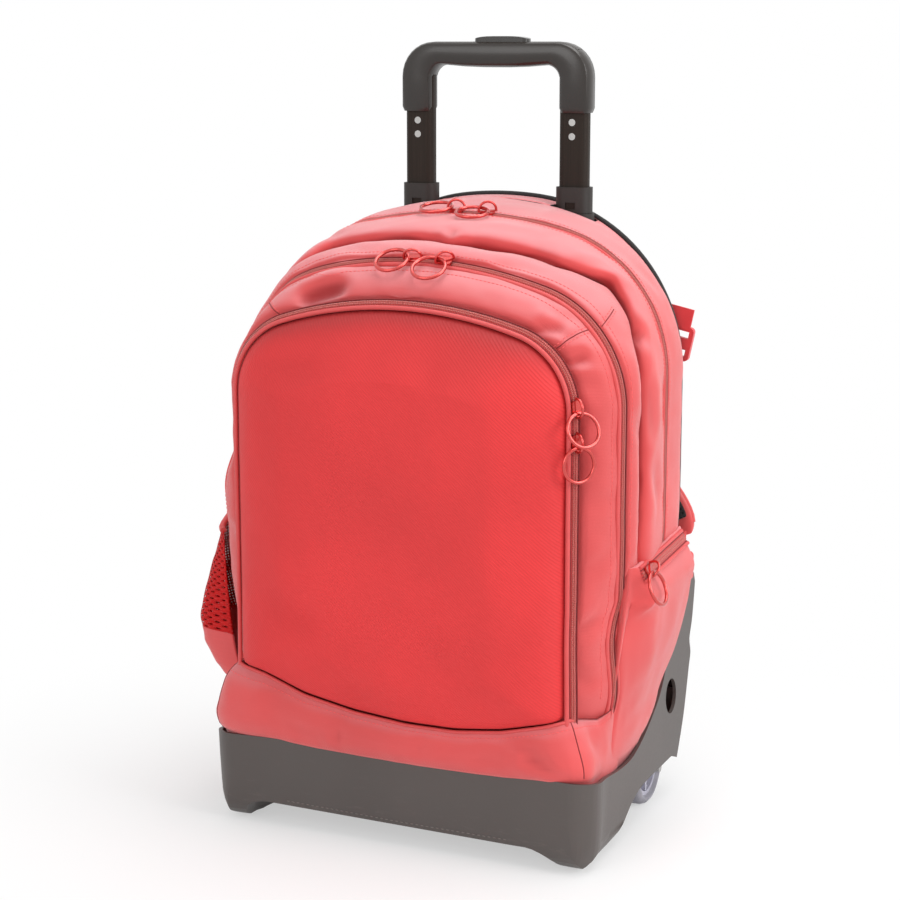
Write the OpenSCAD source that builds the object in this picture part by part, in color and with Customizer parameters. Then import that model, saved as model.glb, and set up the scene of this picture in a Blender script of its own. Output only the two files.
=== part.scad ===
// Wheeled school backpack: a soft zipped bag standing in a moulded base with two wheels,
// carried by a two-stage telescopic handle and a pair of padded shoulder straps.
// Millimetres. +Z up, the front faces -Y, the ground is z = 0, the origin is the centre of
// the footprint. The handle is drawn partly raised, with the zips closed.

/* [Base] */
// Half width of the moulded base
base_half_w = 172; // [170:1:176]
// Distance from the origin to the front wall
base_front = 122; // [120:1:126]
// Height of the front rim
rim_z = 80; // [76:1:86]
// Wall thickness of the mouldings
wall = 3; // [2.4:0.2:3.4]
// Corner radius of the base in plan
base_corner_r = 26; // [20:1:30]
// Height of the arch between the two feet
arch_z = 22; // [16:1:26]
// Radius of the lower edges of the feet
foot_r = 18; // [12:1:20]
// Height of the floor that carries the bag
deck_z = 41; // [40:1:42]
// Thickness of the stiffening board under the bag
board_t = 3; // [2:0.5:4]

/* [Wheels] */
// Wheel radius
wheel_r = 34; // [30:1:35]
// Tread width
wheel_w = 24; // [18:1:25]
// Distance of the wheel axis behind the origin
wheel_y = 65; // [62:1:67]
// Distance of the wheel's middle plane inside the side of the base
wheel_in = 24; // [23:0.5:25]
// Axle radius
axle_r = 4; // [3:0.5:5]
// Number of spokes
spokes = 6; // [4:1:8]

/* [Handle] */
// Distance of each tube from the centre plane
handle_x = 72.5; // [68:0.5:76]
// Distance of the tubes behind the origin
handle_y = 92; // [92:0.5:93]
// Width of the inner tubes
inner_w = 26; // [22:1:27]
// Depth of the inner tubes
inner_d = 16; // [13:1:16.5]
// Wall of the aluminium tubes
tube_wall = 1.2; // [1:0.1:1.4]
// Gap all round between sliding tubes
slide_gap = 0.3; // [0.2:0.05:0.4]
// Height of the top of the grip
grip_top = 660; // [630:1:690]
// Thickness of the grip bar
grip_bar = 20; // [18:1:24]
// Outer corner radius of the grip
grip_r = 30; // [26:1:34]
// Depth of the grip from front to back
grip_depth = 24; // [22:1:26]
// Travel of the release button
button_travel = 4; // [3:0.5:4.5]

/* [Bag] */
// Half width of the bag at its widest
bag_half_w = 185; // [183:0.5:186]
// Height of the main compartment at its zip
bag_top = 519; // [505:1:525]
// Height of the front compartment at its zip
front_top = 487; // [480:1:492]
// Half width of the front pocket
pocket_half_w = 155; // [145:1:158]
// Height of the front pocket
pocket_top = 459; // [445:1:462]
// Furthest point of the crowned front panel before the origin
panel_front = 145; // [141:1:146]
// Gap between the foot of the bag and the wall of the base
bag_clear = 2; // [1:0.5:3]
// How far the zipped side pocket stands out from the flank
side_bulge = 16.6; // [12:0.2:17]
// How far the bottle pocket stands out from the flank
bottle_bulge = 24; // [18:0.5:24]

/* [Zips and pulls] */
// Width of a zip track
zip_w = 9; // [7:0.5:9]
// Thickness of a zip track
zip_t = 2.4; // [1.6:0.2:2.6]
// Mean radius of a pull ring
ring_r = 13.6; // [12:0.2:14]
// Radius of the pull ring's wire
ring_wire = 1.5; // [1.2:0.1:1.6]
// Mean radius of a slider's bail
bail_r = 7.5; // [7.2:0.1:8]
// Radius of the bail's wire
bail_wire = 1.1; // [0.9:0.1:1.2]

/* [Hidden] */
$fn = 48;

// Colours
coral = [0.87, 0.31, 0.31];
coral_light = [0.93, 0.42, 0.43];
pull_pink = [0.93, 0.55, 0.52];
tape_brown = [0.45, 0.30, 0.27];
moulding_grey = [0.42, 0.39, 0.38];
guard_grey = [0.30, 0.28, 0.27];
tube_brown = [0.24, 0.21, 0.20];
grip_black = [0.20, 0.17, 0.15];
webbing_black = [0.08, 0.08, 0.08];
wheel_grey = [0.68, 0.67, 0.72];
steel = [0.70, 0.70, 0.72];

// Small clearances
touch = 0.3;      // between soft bodies, and between parts that pass each other
running = 0.05;   // radial gap of a turning or sliding round fit

// Base outline, seen from the side
rear_wall_y = 107;
plate_from_y = -60;
wheel_x = base_half_w - wheel_in;
hole_y = 82;
hole_z = 95;
well_gap = 5;
arm_gap = 2;
toe_r = 20;
screw_r = 2;
screw_spots = [[80, -95], [95, 38], [40, 70]];
guard_screw_x = [-100, 100];
guard_screw_z = [72, 86];
guard_half_w = base_half_w - 13;
hub_r = 26;
bush_r = 7;
lower_edge = [[-90, 0], [-80, 4.5], [-63, 9], [-48, 12], [-38, 16], [-26, 25], [-14, 32], [5, 37],
    [30, deck_z - wall], [87, deck_z - wall]];
rear_edge = [[103, 32], [110, 45], [120, 66], [127, 87], [133, 108], [137, 121], [133, 134],
    [139, 149], [143, 166], [146, 184]];
wing_edge = [[142, 193], [130, 191], [110, 184], [92, 166], [76, 148], [66, 125], [51, 105],
    [25, 88], [-1, 76], [-26, 70], [-60, 71], [-95, 76]];

// Bag stations: distance behind the origin, then what the outline measures there
side_taper = bag_half_w - (base_half_w - wall - bag_clear);
back_face_y = 79.2;
panel_back_y = 112;
front_y = 106;
zip_front_y = -75;
crease_y = -44.5;
zip_main_y = 12;
taper_from = 290;
tuck_z = 118;
width_at = [[-front_y, pocket_half_w + 2], [zip_front_y, bag_half_w - 5], [crease_y, bag_half_w - 2],
    [zip_main_y, bag_half_w], [62, bag_half_w], [back_face_y, bag_half_w - 13]];
top_at = [[-front_y, pocket_top + 2], [zip_front_y, front_top], [crease_y, front_top + 14],
    [zip_main_y, bag_top], [62, bag_top + 7], [back_face_y, bag_top + 10]];
corner_at = [[-front_y, 72], [zip_front_y, 100], [zip_main_y, 120], [62, 120], [back_face_y, 110]];
crown_at = [[-front_y, 350], [crease_y, 350], [zip_main_y, 400], [back_face_y, 400]];
corner_steps = 6;
top_steps = 8;
bag_bottom = deck_z + board_t;
groove = zip_t + 0.2;
seam_line = [[0, 109], [54, 110], [84, 118], [121, 129], [150, 136], [170, 140]];
pocket_spec = [pocket_half_w, pocket_top, 70, 350, 0];
pocket_zip_drop = 7;
pocket_zip_y = [-115, -106.4];
pocket_low = 124;
side_zip_y = [-54, 50];
side_zip_slope = 30;
side_zip_in = 9;
side_tape_t = 1.4;
side_rise = 0.076;
side_top = 249;
side_slider_y = -46;

// Straps
strap_t = 12;
adjuster_at = [base_half_w - 11, 121.5, 204];
adjuster_t = 5;
webbing_t = 1.6;

// Handle sizes that follow from the inner tubes
middle_w = inner_w + 2 * (slide_gap + tube_wall);
middle_d = inner_d + 2 * (slide_gap + tube_wall);
outer_w = middle_w + 2 * (slide_gap + tube_wall);
outer_d = middle_d + 2 * (slide_gap + tube_wall);
collar_wall = 1.2;
socket_wall = 3;
socket_h = 25;
outer_top = grip_top - 148;
fixed_collar_top = outer_top + 2.7;
middle_bottom = 62;
middle_top = outer_top + 21;
middle_collar_top = middle_top + 4;
middle_collar_h = 22;
inner_bottom = 130;
plug_h = 22;
tube_in_grip = 26;
inner_top = grip_top - tube_in_grip;
tube_r = 6.5;
rivet_z = [inner_top - 42, inner_top - 54];
boot_bottom = grip_top - 60;
grip_half_w = handle_x + 15.5;
grip_half_in = handle_x - 12.5;
yoke_z = grip_top - 11;
yoke_t = 3;
rod_r = 1.5;
pin_r = 2.5;
pin_z = inner_bottom + 12;
pin_len = 9;
button_x = 5;
button_w = 50;
button_d = 13;
button_proud = 4.5;

// Zip pulls
slider_l = 12;
slider_w = 8.6;
slider_t = 2.2;
saddle_t = 1;
saddle_w = 3.4;
slider_lift = 0.4;
bail_foot = slider_lift + slider_t + saddle_t;
hinge_h = bail_foot + ring_wire + 0.6;
hinge_out = 3.6;
main_left_x = -3;
main_right_x = 25;
front_left_x = -3;
front_right_x = 25;
upper_slider_z = 381;
lower_slider_z = 354;

// ---- Helpers -------------------------------------------------------------------------

function reversed(list) = [for (i = [len(list) - 1 : -1 : 0]) list[i]];
function unit(v) = v / norm(v);

// Catmull-Rom curve through a list of points, with n steps between two of them
function curve_point(a, b, c, d, t) =
    0.5 * (2 * b + (c - a) * t + (2 * a - 5 * b + 4 * c - d) * t * t
    + (3 * b - a - 3 * c + d) * t * t * t);
function smooth(p, n) = concat(
    [for (i = [0 : len(p) - 2], k = [0 : n - 1])
        curve_point(p[max(i - 1, 0)], p[i], p[i + 1], p[min(i + 2, len(p) - 1)], k / n)],
    [p[len(p) - 1]]);

// Solid through a list of rings, each anticlockwise seen from the first ring's side
module loft(rings) {
    n = len(rings[0]);
    m = len(rings);
    points = [for (ring = rings) for (p = ring) p];
    sides = [for (j = [0 : m - 2], i = [0 : n - 1], half = [0, 1])
        let (a = j * n + i, b = j * n + (i + 1) % n, c = b + n, d = a + n)
        half == 0 ? [a, b, c] : [a, c, d]];
    first_cap = [[for (i = [n - 1 : -1 : 0]) i]];
    last_cap = [[for (i = [0 : n - 1]) (m - 1) * n + i]];
    polyhedron(points = points, faces = concat(first_cap, sides, last_cap), convexity = 6);
}

// Flat strap swept along a path: 8-sided section, its width square to the path and to "thick"
module strap(path, widths, thickness, thick) {
    last = len(path) - 1;
    loft([for (i = [0 : last])
        let (along = unit(path[min(i + 1, last)] - path[max(i - 1, 0)]),
             side = unit(cross(along, thick)),
             up = cross(side, along),
             w = widths[0] + (widths[1] - widths[0]) * i / last,
             c = thickness * 0.3)
        [for (q = [[1, -1, 0, 1], [1, 1, 0, -1], [1, 1, -1, 0], [-1, 1, 1, 0], [-1, 1, 0, -1],
                   [-1, -1, 0, 1], [-1, -1, 1, 0], [1, -1, -1, 0]])
            path[i] + side * (q[0] * w / 2 + q[2] * c) + up * (q[1] * thickness / 2 + q[3] * c)]]);
}

// Upright rectangular tube or bar with rounded corners, centred on its own axis
module rounded_bar(w, d, r, h) {
    linear_extrude(height = h) rounded_rect(w, d, r);
}
module rounded_rect(w, d, r) {
    square([w - 2 * r, d], center = true);
    square([w, d - 2 * r], center = true);
    for (x = [-1, 1], y = [-1, 1]) translate([x * (w / 2 - r), y * (d / 2 - r)]) circle(r);
}

module both_sides() {
    children();
    mirror([1, 0, 0]) children();
}

// Cylinder along X from x0 to x1 about (y, z)
module x_cylinder(x0, x1, y, z, r) {
    translate([x0, y, z]) rotate([0, 90, 0]) cylinder(r = r, h = x1 - x0);
}

// ---- Bag outlines --------------------------------------------------------------------

// An outline is [half width, top, corner radius, crown radius, draw-in of the flanks]
function bag_spec(y) = [lookup(y, width_at), lookup(y, top_at), lookup(y, corner_at),
    lookup(y, crown_at), side_taper];
function flank_x(half_w, taper, z) =
    half_w - taper * pow(max(0, min(1, (taper_from - z) / (taper_from - tuck_z))), 2);
function flank_heights(bottom, taper) = taper == 0 ? [bottom] : concat([bottom],
    [for (k = [0 : 4]) let (z = tuck_z + (taper_from - tuck_z) * k / 4) if (z > bottom + 5) z]);

// Half arch: up the flank, round the corner and along the crown to the middle
function half_arch(s, d, bottom) =
    let (corner_z = s[1] - s[3] + sqrt(pow(s[3] - s[2], 2) - pow(s[0] - s[2], 2)),
         lean = asin((s[0] - s[2]) / (s[3] - s[2])))
    concat(
        [for (z = flank_heights(bottom, s[4])) [flank_x(s[0], s[4], z) - d, z]],
        [for (i = [0 : corner_steps]) let (t = i * (90 - lean) / corner_steps)
            [s[0] - s[2] + (s[2] - d) * cos(t), corner_z + (s[2] - d) * sin(t)]],
        [for (i = [1 : top_steps / 2 - 1]) let (t = 90 - lean * (1 - 2 * i / top_steps))
            [(s[3] - d) * cos(t), s[1] - s[3] + (s[3] - d) * sin(t)]]);
function arch(s, d, bottom) =
    let (half = half_arch(s, d, bottom))
    concat(half, [[0, s[1] - d]], [for (p = reversed(half)) [-p[0], p[1]]]);
function at_y(y, outline) = [for (p = outline) [p[0], y, p[1]]];

// The groove that a zip tape lies in, as [y, inset] pairs
function zip_groove(y) =
    let (half = zip_w / 2 + 0.3)
    [[y - half - 0.3, 0], [y - half, groove], [y + half, groove], [y + half + 0.3, 0]];
// Slab of the bag through [y, inset] pairs
module bag_slab(steps) {
    loft([for (s = steps) at_y(s[0], arch(bag_spec(s[0]), s[1], bag_bottom))]);
}

// Arched zip tape swept along the outline, between its front and its rear edge
module arched_track(front, front_spec, front_drop, rear, rear_spec, bottom) {
    outlines = [at_y(front, arch(front_spec, front_drop, bottom)),
        at_y(front, arch(front_spec, front_drop + zip_t, bottom)),
        at_y(rear, arch(rear_spec, zip_t, bottom)), at_y(rear, arch(rear_spec, 0, bottom))];
    loft([for (i = [0 : len(outlines[0]) - 1]) [for (outline = outlines) outline[i]]]);
}
module bag_track(y, bottom) {
    front = y - zip_w / 2;
    rear = y + zip_w / 2;
    arched_track(front, bag_spec(front), 0, rear, bag_spec(rear), bottom);
}

// ---- Base ----------------------------------------------------------------------------

// Plan of the base: square behind, rounded in front
module base_plan(inset) {
    r = base_corner_r - inset;
    right = [for (i = [0 : 8]) let (t = 270 + i * 90 / 8)
        [base_half_w - base_corner_r + r * cos(t), base_corner_r - base_front + r * sin(t)]];
    rear = [[base_half_w - inset, rear_wall_y - inset]];
    half = concat(right, rear);
    polygon(concat([for (p = reversed(half)) [-p[0], p[1]]], half));
}

// Underside of the base seen from the front: two feet and the arch between them
module base_front_profile(inset) {
    r = foot_r - inset;
    arch_half = base_half_w - 67 + inset * 0.8;
    ramp = 38;
    slope = [for (i = [0 : 8]) let (t = i / 8)
        [arch_half + ramp * t, inset + arch_z * (1 + cos(180 * t)) / 2]];
    corner = [for (i = [0 : 6]) let (t = 270 + i * 15)
        [base_half_w - foot_r + r * cos(t), foot_r + r * sin(t)]];
    half = concat(slope, corner, [[base_half_w - inset, 300]]);
    polygon(concat([for (p = reversed(half)) [-p[0], p[1]]], half));
}

// Side of the base with its wing: foot, wheel arch, rear leg, wing and rim
function toe_and_sole(inset) = concat(
    [for (i = [0 : 6]) let (t = 180 + i * 15, r = toe_r - inset)
        [toe_r - base_front + r * cos(t), toe_r + r * sin(t)]],
    [for (p = smooth(lower_edge, 3)) [p[0], min(p[1], deck_z - wall) + inset]]);
module base_side_profile() {
    polygon(concat(toe_and_sole(0), smooth(rear_edge, 3), smooth(wing_edge, 3),
        [[-base_front, rim_z]]));
}
module base_side_cavity() {
    polygon(concat(toe_and_sole(wall),
        [[rear_wall_y, deck_z], [rear_wall_y, 300], [wall - base_front, 300]]));
}
module across(half) {
    rotate([90, 0, 90]) translate([0, 0, -half]) linear_extrude(height = 2 * half) children();
}
module along_y() {
    translate([0, 200, 0]) rotate([90, 0, 0]) linear_extrude(height = 400) children();
}

module base_outer() {
    intersection() {
        linear_extrude(height = 95) base_plan(0);
        along_y() base_front_profile(0);
        across(base_half_w + 5) base_side_profile();
    }
}
module base_cavity() {
    intersection() {
        linear_extrude(height = 300) base_plan(wall);
        along_y() base_front_profile(wall);
        across(base_half_w + 5) base_side_cavity();
    }
}

// Space for one wheel under the right side, or its shell when grown by the wall
module wheel_well(grow) {
    x0 = wheel_x - wheel_w / 2 - well_gap - grow;
    r = wheel_r + well_gap + grow;
    x1 = base_half_w - wall;
    x_cylinder(x0, x1, wheel_y, wheel_r, r);
    translate([x0, wheel_y - r, -1]) cube([x1 - x0, 2 * r, wheel_r + 1]);
}
module axle_arm() {
    arm_x = wheel_x + wheel_w / 2 + arm_gap;
    arm_r = 15;
    arm_w = base_half_w - wall - arm_x;
    x_cylinder(arm_x, arm_x + arm_w, wheel_y, wheel_r, arm_r);
    translate([arm_x, wheel_y - arm_r, wheel_r])
        cube([arm_w, 2 * arm_r, wheel_r + well_gap - arm_r * 0.3]);
}
module wing_plate() {
    intersection() {
        translate([base_half_w - wall, 0, 0]) rotate([90, 0, 90]) linear_extrude(height = wall)
            base_side_profile();
        translate([0, plate_from_y, 20]) cube([300, 400, 300]);
    }
}
// Rim turned inwards behind the back panel, where the guard is screwed on
module wing_return() {
    depth = 9;
    intersection() {
        translate([base_half_w - wall - depth, 0, 0]) rotate([90, 0, 90])
            linear_extrude(height = depth) difference() {
                base_side_profile();
                translate([-4.5, -1]) base_side_profile();
            }
        translate([0, panel_back_y + 2, 50]) cube([300, 400, 131]);
    }
}
// Slanted oval window in the wing
module wing_window() {
    translate([0, hole_y, hole_z]) rotate([0, 90, 0]) rotate([0, 0, 25])
        linear_extrude(height = 400) polygon([for (i = [0 : 31]) let (t = i * 11.25)
            [16.5 * cos(t), 14 * sin(t)]]);
}

module base_shell() {
    color(moulding_grey)
    difference() {
        union() {
            difference() {
                base_outer();
                base_cavity();
            }
            intersection() {
                base_outer();
                union() {
                    both_sides() {
                        wheel_well(wall);
                        for (y = [-98, -74, -50]) translate([108, y, 0]) cube([60, 2, deck_z]);
                    }
                    for (x = [-62, 0, 62]) translate([x - 1, -base_front, 0])
                        cube([2, 125, deck_z]);
                    for (p = screw_spots, side = [-1, 1])
                        translate([side * p[0], p[1], 0]) cylinder(r = 6, h = deck_z);
                }
            }
            both_sides() {
                wing_plate();
                wing_return();
            }
        }
        both_sides() {
            difference() {
                wheel_well(0);
                axle_arm();
            }
            x_cylinder(wheel_x - 28, base_half_w - wall, wheel_y, wheel_r, axle_r);
            wing_window();
        }
        for (p = screw_spots, side = [-1, 1])
            translate([side * p[0], p[1], 0]) cylinder(r = screw_r, h = 60);
        for (x = guard_screw_x, z = guard_screw_z)
            translate([x, 50, z]) rotate([-90, 0, 0]) cylinder(r = screw_r, h = 60);
    }
}

module base_board() {
    inset = wall + 0.4;
    color(webbing_black)
    difference() {
        translate([0, 0, deck_z]) linear_extrude(height = board_t) difference() {
            base_plan(inset);
            both_sides() translate([wheel_x - wheel_w / 2 - well_gap - wall - 0.4, 20]) square([80, 100]);
            translate([-200, 78.5]) square([400, 60]);
        }
        for (p = screw_spots, side = [-1, 1])
            translate([side * p[0], p[1], 0]) cylinder(r = screw_r, h = 60);
    }
}

module screw(h) {
    cylinder(r = screw_r, h = h);
    translate([0, 0, -2.2]) cylinder(r1 = 3.6, r2 = 4.4, h = 2.2);
}
module base_screws() {
    color(steel) for (p = screw_spots, side = [-1, 1])
        let (z = p[1] < 0 ? arch_z : deck_z - wall)
        translate([side * p[0], p[1], z]) screw(bag_bottom - z);
}

// Ribbed plate behind the wheels, which slides over steps and kerbs
module guard_outline(grow) {
    line = [for (p = smooth([[110.2, 46], [116, 63], [122, 83], [127, 100], [131, 118],
        [134, 136], [137, 152], [139, 168], [140, 182]], 2)) p + [grow, 0]];
    polygon(concat(line, [for (p = reversed(line)) p - [wall, 0]]));
}
module back_guard() {
    color(guard_grey)
    difference() {
        union() {
            across(guard_half_w) guard_outline(0);
            for (x = [-120 : 40 : 120]) translate([x, 0, 0]) intersection() {
                across(2.5) guard_outline(wall);
                translate([-50, 0, 52]) cube([100, 200, 124]);
            }
            for (x = guard_screw_x, z = guard_screw_z) translate([x, rear_wall_y, z])
                rotate([-90, 0, 0]) cylinder(r = 6, h = z > 80 ? 14.5 : 9.5);
        }
        for (x = guard_screw_x, z = guard_screw_z) translate([x, 50, z])
            rotate([-90, 0, 0]) cylinder(r = screw_r, h = 100);
    }
}
module guard_screws() {
    color(steel) for (x = guard_screw_x, z = guard_screw_z)
        translate([x, rear_wall_y - wall, z]) rotate([-90, 0, 0]) screw(z > 80 ? 19 : 14);
}

// ---- Wheels --------------------------------------------------------------------------

// Axles with a spacer on each side of the wheel
module wheel_axles() {
    half = wheel_w / 2;
    color(steel) both_sides() {
        x_cylinder(wheel_x - half - well_gap - wall, base_half_w - wall, wheel_y, wheel_r, axle_r);
        x_cylinder(wheel_x - half - well_gap, wheel_x - half - touch, wheel_y, wheel_r, axle_r + 3);
        x_cylinder(wheel_x + half + touch, wheel_x + half + arm_gap, wheel_y, wheel_r, axle_r + 3);
    }
}
module wheel_ring(profile) {
    translate([wheel_x, wheel_y, wheel_r]) rotate([0, 90, 0]) rotate_extrude($fn = 96)
        polygon(profile);
}
module tyre() {
    half = wheel_w / 2;
    color(wheel_grey) wheel_ring([[hub_r, -half + 3], [hub_r + 2, -half], [wheel_r - 4, -half],
        [wheel_r - 1.2, -half + 2.5], [wheel_r, -half + 6], [wheel_r, half - 6],
        [wheel_r - 1.2, half - 2.5], [wheel_r - 4, half], [hub_r + 2, half], [hub_r, half - 3]]);
}
module hub() {
    rim_half = wheel_w / 2 - 3;
    color(wheel_grey * 0.85)
    difference() {
        union() {
            wheel_ring([[hub_r - 3.5, -rim_half], [hub_r, -rim_half], [hub_r, rim_half],
                [hub_r - 3.5, rim_half]]);
            wheel_ring([[0, -rim_half], [11, -rim_half], [11, rim_half], [0, rim_half]]);
            wheel_ring([[0, -1.5], [hub_r - 2, -1.5], [hub_r - 2, 1.5], [0, 1.5]]);
            for (i = [0 : spokes - 1])
                translate([wheel_x, wheel_y, wheel_r]) rotate([i * 360 / spokes, 0, 0])
                    translate([-rim_half + 1, -2, 8]) cube([2 * rim_half - 2, 4, hub_r - 10]);
        }
        x_cylinder(100, 200, wheel_y, wheel_r, bush_r);
    }
}
module bushes() {
    half = wheel_w / 2;
    color(steel) for (side = [-1, 1]) translate([wheel_x, wheel_y, wheel_r])
        rotate([0, 90, 0]) rotate_extrude() polygon(side > 0
            ? [[axle_r + running, 1], [bush_r, 1], [bush_r, half - 3], [bush_r + 2, half - 3],
                [bush_r + 2, half], [axle_r + running, half]]
            : [[axle_r + running, -half], [bush_r + 2, -half], [bush_r + 2, 3 - half],
                [bush_r, 3 - half], [bush_r, -1], [axle_r + running, -1]]);
}
module tyre_right() { tyre(); }
module tyre_left() { mirror([1, 0, 0]) tyre(); }
module hub_right() { hub(); }
module hub_left() { mirror([1, 0, 0]) hub(); }
module bushes_right() { bushes(); }
module bushes_left() { mirror([1, 0, 0]) bushes(); }

// ---- Telescopic handle ---------------------------------------------------------------

module at_tube() {
    translate([handle_x, handle_y, 0]) children();
}
module tube(w, d, r, z0, z1) {
    translate([0, 0, z0]) difference() {
        rounded_bar(w, d, r, z1 - z0);
        translate([0, 0, -1])
            rounded_bar(w - 2 * tube_wall, d - 2 * tube_wall, r - tube_wall, z1 - z0 + 2);
    }
}
module outer_tube() {
    color(tube_brown) at_tube() tube(outer_w, outer_d, tube_r + 3, deck_z + 3, outer_top);
}
module outer_tube_right() { outer_tube(); }
module outer_tube_left() { mirror([1, 0, 0]) outer_tube(); }

module tube_sockets() {
    color(webbing_black) both_sides() at_tube() difference() {
        translate([0, 0, deck_z]) rounded_bar(outer_w + 2 * socket_wall, outer_d + 1.6, 4, socket_h);
        translate([0, 0, deck_z + 3]) rounded_bar(outer_w, outer_d, tube_r + 3, socket_h);
    }
}
module outer_collars() {
    skirt = 17;
    color(webbing_black) both_sides() at_tube() difference() {
        translate([0, 0, outer_top - skirt])
            rounded_bar(outer_w + 2 * collar_wall, outer_d + 2 * collar_wall, tube_r + 4,
                fixed_collar_top - outer_top + skirt);
        translate([0, 0, outer_top - skirt - 1]) rounded_bar(outer_w, outer_d, tube_r + 3, skirt + 1);
        rounded_bar(middle_w + 2 * slide_gap, middle_d + 2 * slide_gap, tube_r + 1.5 + slide_gap, 600);
    }
}

module middle_tube() {
    color(tube_brown) at_tube() tube(middle_w, middle_d, tube_r + 1.5, middle_bottom, middle_top);
}
module middle_tube_right() { middle_tube(); }
module middle_tube_left() { mirror([1, 0, 0]) middle_tube(); }
module middle_collars() {
    below = middle_collar_top - middle_collar_h;
    color(grip_black) both_sides() at_tube() difference() {
        translate([0, 0, below])
            rounded_bar(middle_w + 2 * collar_wall, middle_d + 2 * collar_wall, tube_r + 2.7,
                middle_collar_h);
        translate([0, 0, below - 1])
            rounded_bar(middle_w, middle_d, tube_r + 1.5, middle_top - below + 1);
        rounded_bar(inner_w + 2 * slide_gap, inner_d + 2 * slide_gap, tube_r + slide_gap, 600);
        translate([-4.5, -20, middle_collar_top - 19]) cube([9, 20 - middle_d / 2, 6]);
    }
}

module inner_tube() {
    color(tube_brown) at_tube() difference() {
        tube(inner_w, inner_d, tube_r, inner_bottom, inner_top);
        translate([0, -inner_d, pin_z]) rotate([-90, 0, 0]) cylinder(r = pin_r + running, h = inner_d);
        for (z = rivet_z) translate([0, -inner_d, z]) rotate([-90, 0, 0])
            cylinder(r = 3, h = inner_d);
    }
}
module inner_tube_right() { inner_tube(); }
module inner_tube_left() { mirror([1, 0, 0]) inner_tube(); }
module end_plugs() {
    color(webbing_black) both_sides() at_tube() difference() {
        translate([0, 0, inner_bottom])
            rounded_bar(inner_w - 2 * tube_wall, inner_d - 2 * tube_wall, tube_r - tube_wall, plug_h);
        translate([0, -inner_d, pin_z]) rotate([-90, 0, 0])
            cylinder(r = pin_r + running, h = inner_d + 5);
    }
}
module lock_pin() {
    color(steel) translate([handle_x, handle_y - inner_d / 2, pin_z]) rotate([-90, 0, 0])
        cylinder(r = pin_r, h = pin_len);
}
module lock_pin_right() { lock_pin(); }
module lock_pin_left() { mirror([1, 0, 0]) lock_pin(); }

// Section of the grip between an inner and an outer contour point
function grip_ring(inner, outer, depth) =
    let (mid = (inner + outer) / 2, half = (outer - inner) / 2)
    [for (i = [0 : 15]) let (t = -i * 22.5,
        c = sign(cos(t)) * pow(abs(cos(t)), 0.5), s = sign(sin(t)) * pow(abs(sin(t)), 0.5))
        [mid[0] + half[0] * c, handle_y + s * depth / 2, mid[1] + half[1] * c]];
function grip_half() =
    let (inner_r = 12, under = grip_top - grip_bar,
         corner = [grip_half_w - grip_r, grip_top - grip_r],
         inner_corner = [grip_half_in - inner_r, under - inner_r])
    concat(
        [for (leg = [[0, 1.5], [4, 0], [30, 0]]) grip_ring([grip_half_in + leg[1], boot_bottom + leg[0]],
            [grip_half_w - leg[1], boot_bottom + leg[0]], grip_depth - 2 * leg[1])],
        [for (i = [1 : 8]) let (t = i * 90 / 8)
            grip_ring(inner_corner + inner_r * [cos(t), sin(t)], corner + grip_r * [cos(t), sin(t)],
                grip_depth)],
        [for (swell = [[30, 1.4], [12, 2]]) grip_ring([swell[0], under - swell[1]],
            [swell[0], grip_top], grip_depth)]);
module grip() {
    half = grip_half();
    other = [for (ring = reversed(half)) [for (p = ring) [-p[0], p[1], p[2]]]];
    color(grip_black) difference() {
        loft(concat(half, other));
        both_sides() at_tube() {
            translate([0, 0, boot_bottom - 1])
                rounded_bar(inner_w, inner_d, tube_r, inner_top - boot_bottom + 1);
            translate([0, 0, inner_top - 1]) cylinder(r = rod_r + 1, h = grip_top - inner_top - 10);
        }
        translate([-handle_x - 4, handle_y - 5, yoke_z - button_travel - 0.6])
            cube([2 * handle_x + 8, 10, yoke_t + button_travel + 2.2]);
        translate([button_x - button_w / 2 - 0.4, handle_y - button_d / 2 - 0.4, yoke_z - button_travel - 0.6])
            cube([button_w + 0.8, button_d + 0.8, 30]);
    }
}
module grip_rivets() {
    color(steel) both_sides() at_tube() for (z = rivet_z)
        translate([0, -inner_d / 2, z]) rotate([-90, 0, 0]) cylinder(r = 3, h = tube_wall);
}
module release_button() {
    foot = yoke_z + yoke_t;
    top = grip_top + button_proud;
    color(grip_black) translate([button_x, handle_y, foot]) intersection() {
        rounded_bar(button_w, button_d, 5, top - foot);
        translate([0, 20, 0]) rotate([90, 0, 0]) linear_extrude(height = 40)
            polygon(concat([[-button_w / 2, 0], [button_w / 2, 0]], [for (i = [0 : 12])
                let (x = button_w / 2 * cos(i * 15)) [x, top - foot - 2.2 * pow(x / button_w * 2, 4)]]));
    }
}
module release_yoke() {
    color(steel) {
        translate([-handle_x - 3, handle_y - 4, yoke_z]) cube([2 * handle_x + 6, 8, yoke_t]);
        both_sides() at_tube() translate([0, 0, inner_bottom + plug_h + button_travel + 0.5])
            cylinder(r = rod_r, h = yoke_z - inner_bottom - plug_h - button_travel);
    }
}

// ---- Soft bag ------------------------------------------------------------------------

module main_compartment() {
    well_x = wheel_x - wheel_w / 2 - well_gap - wall - 0.4;
    color(coral_light) difference() {
        bag_slab(concat([[crease_y + 0.2, 5], [crease_y + 3.5, 0]], zip_groove(zip_main_y),
            [[40, 0], [62, 0], [71, 0], [back_face_y, 2]]));
        both_sides() translate([well_x, wheel_y - wheel_r - well_gap - wall - 1, 0])
            cube([80, 120, 2 * wheel_r + well_gap + wall + 1]);
    }
}
module front_compartment() {
    color(coral_light) bag_slab(concat([[-front_y, 0]], zip_groove(zip_front_y),
        [[crease_y - 3.5, 0], [crease_y - 0.2, 5]]));
}

// Height of the seam between the front pocket and the band below it
function seam_at(x) = lookup(abs(x), seam_line);

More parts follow.
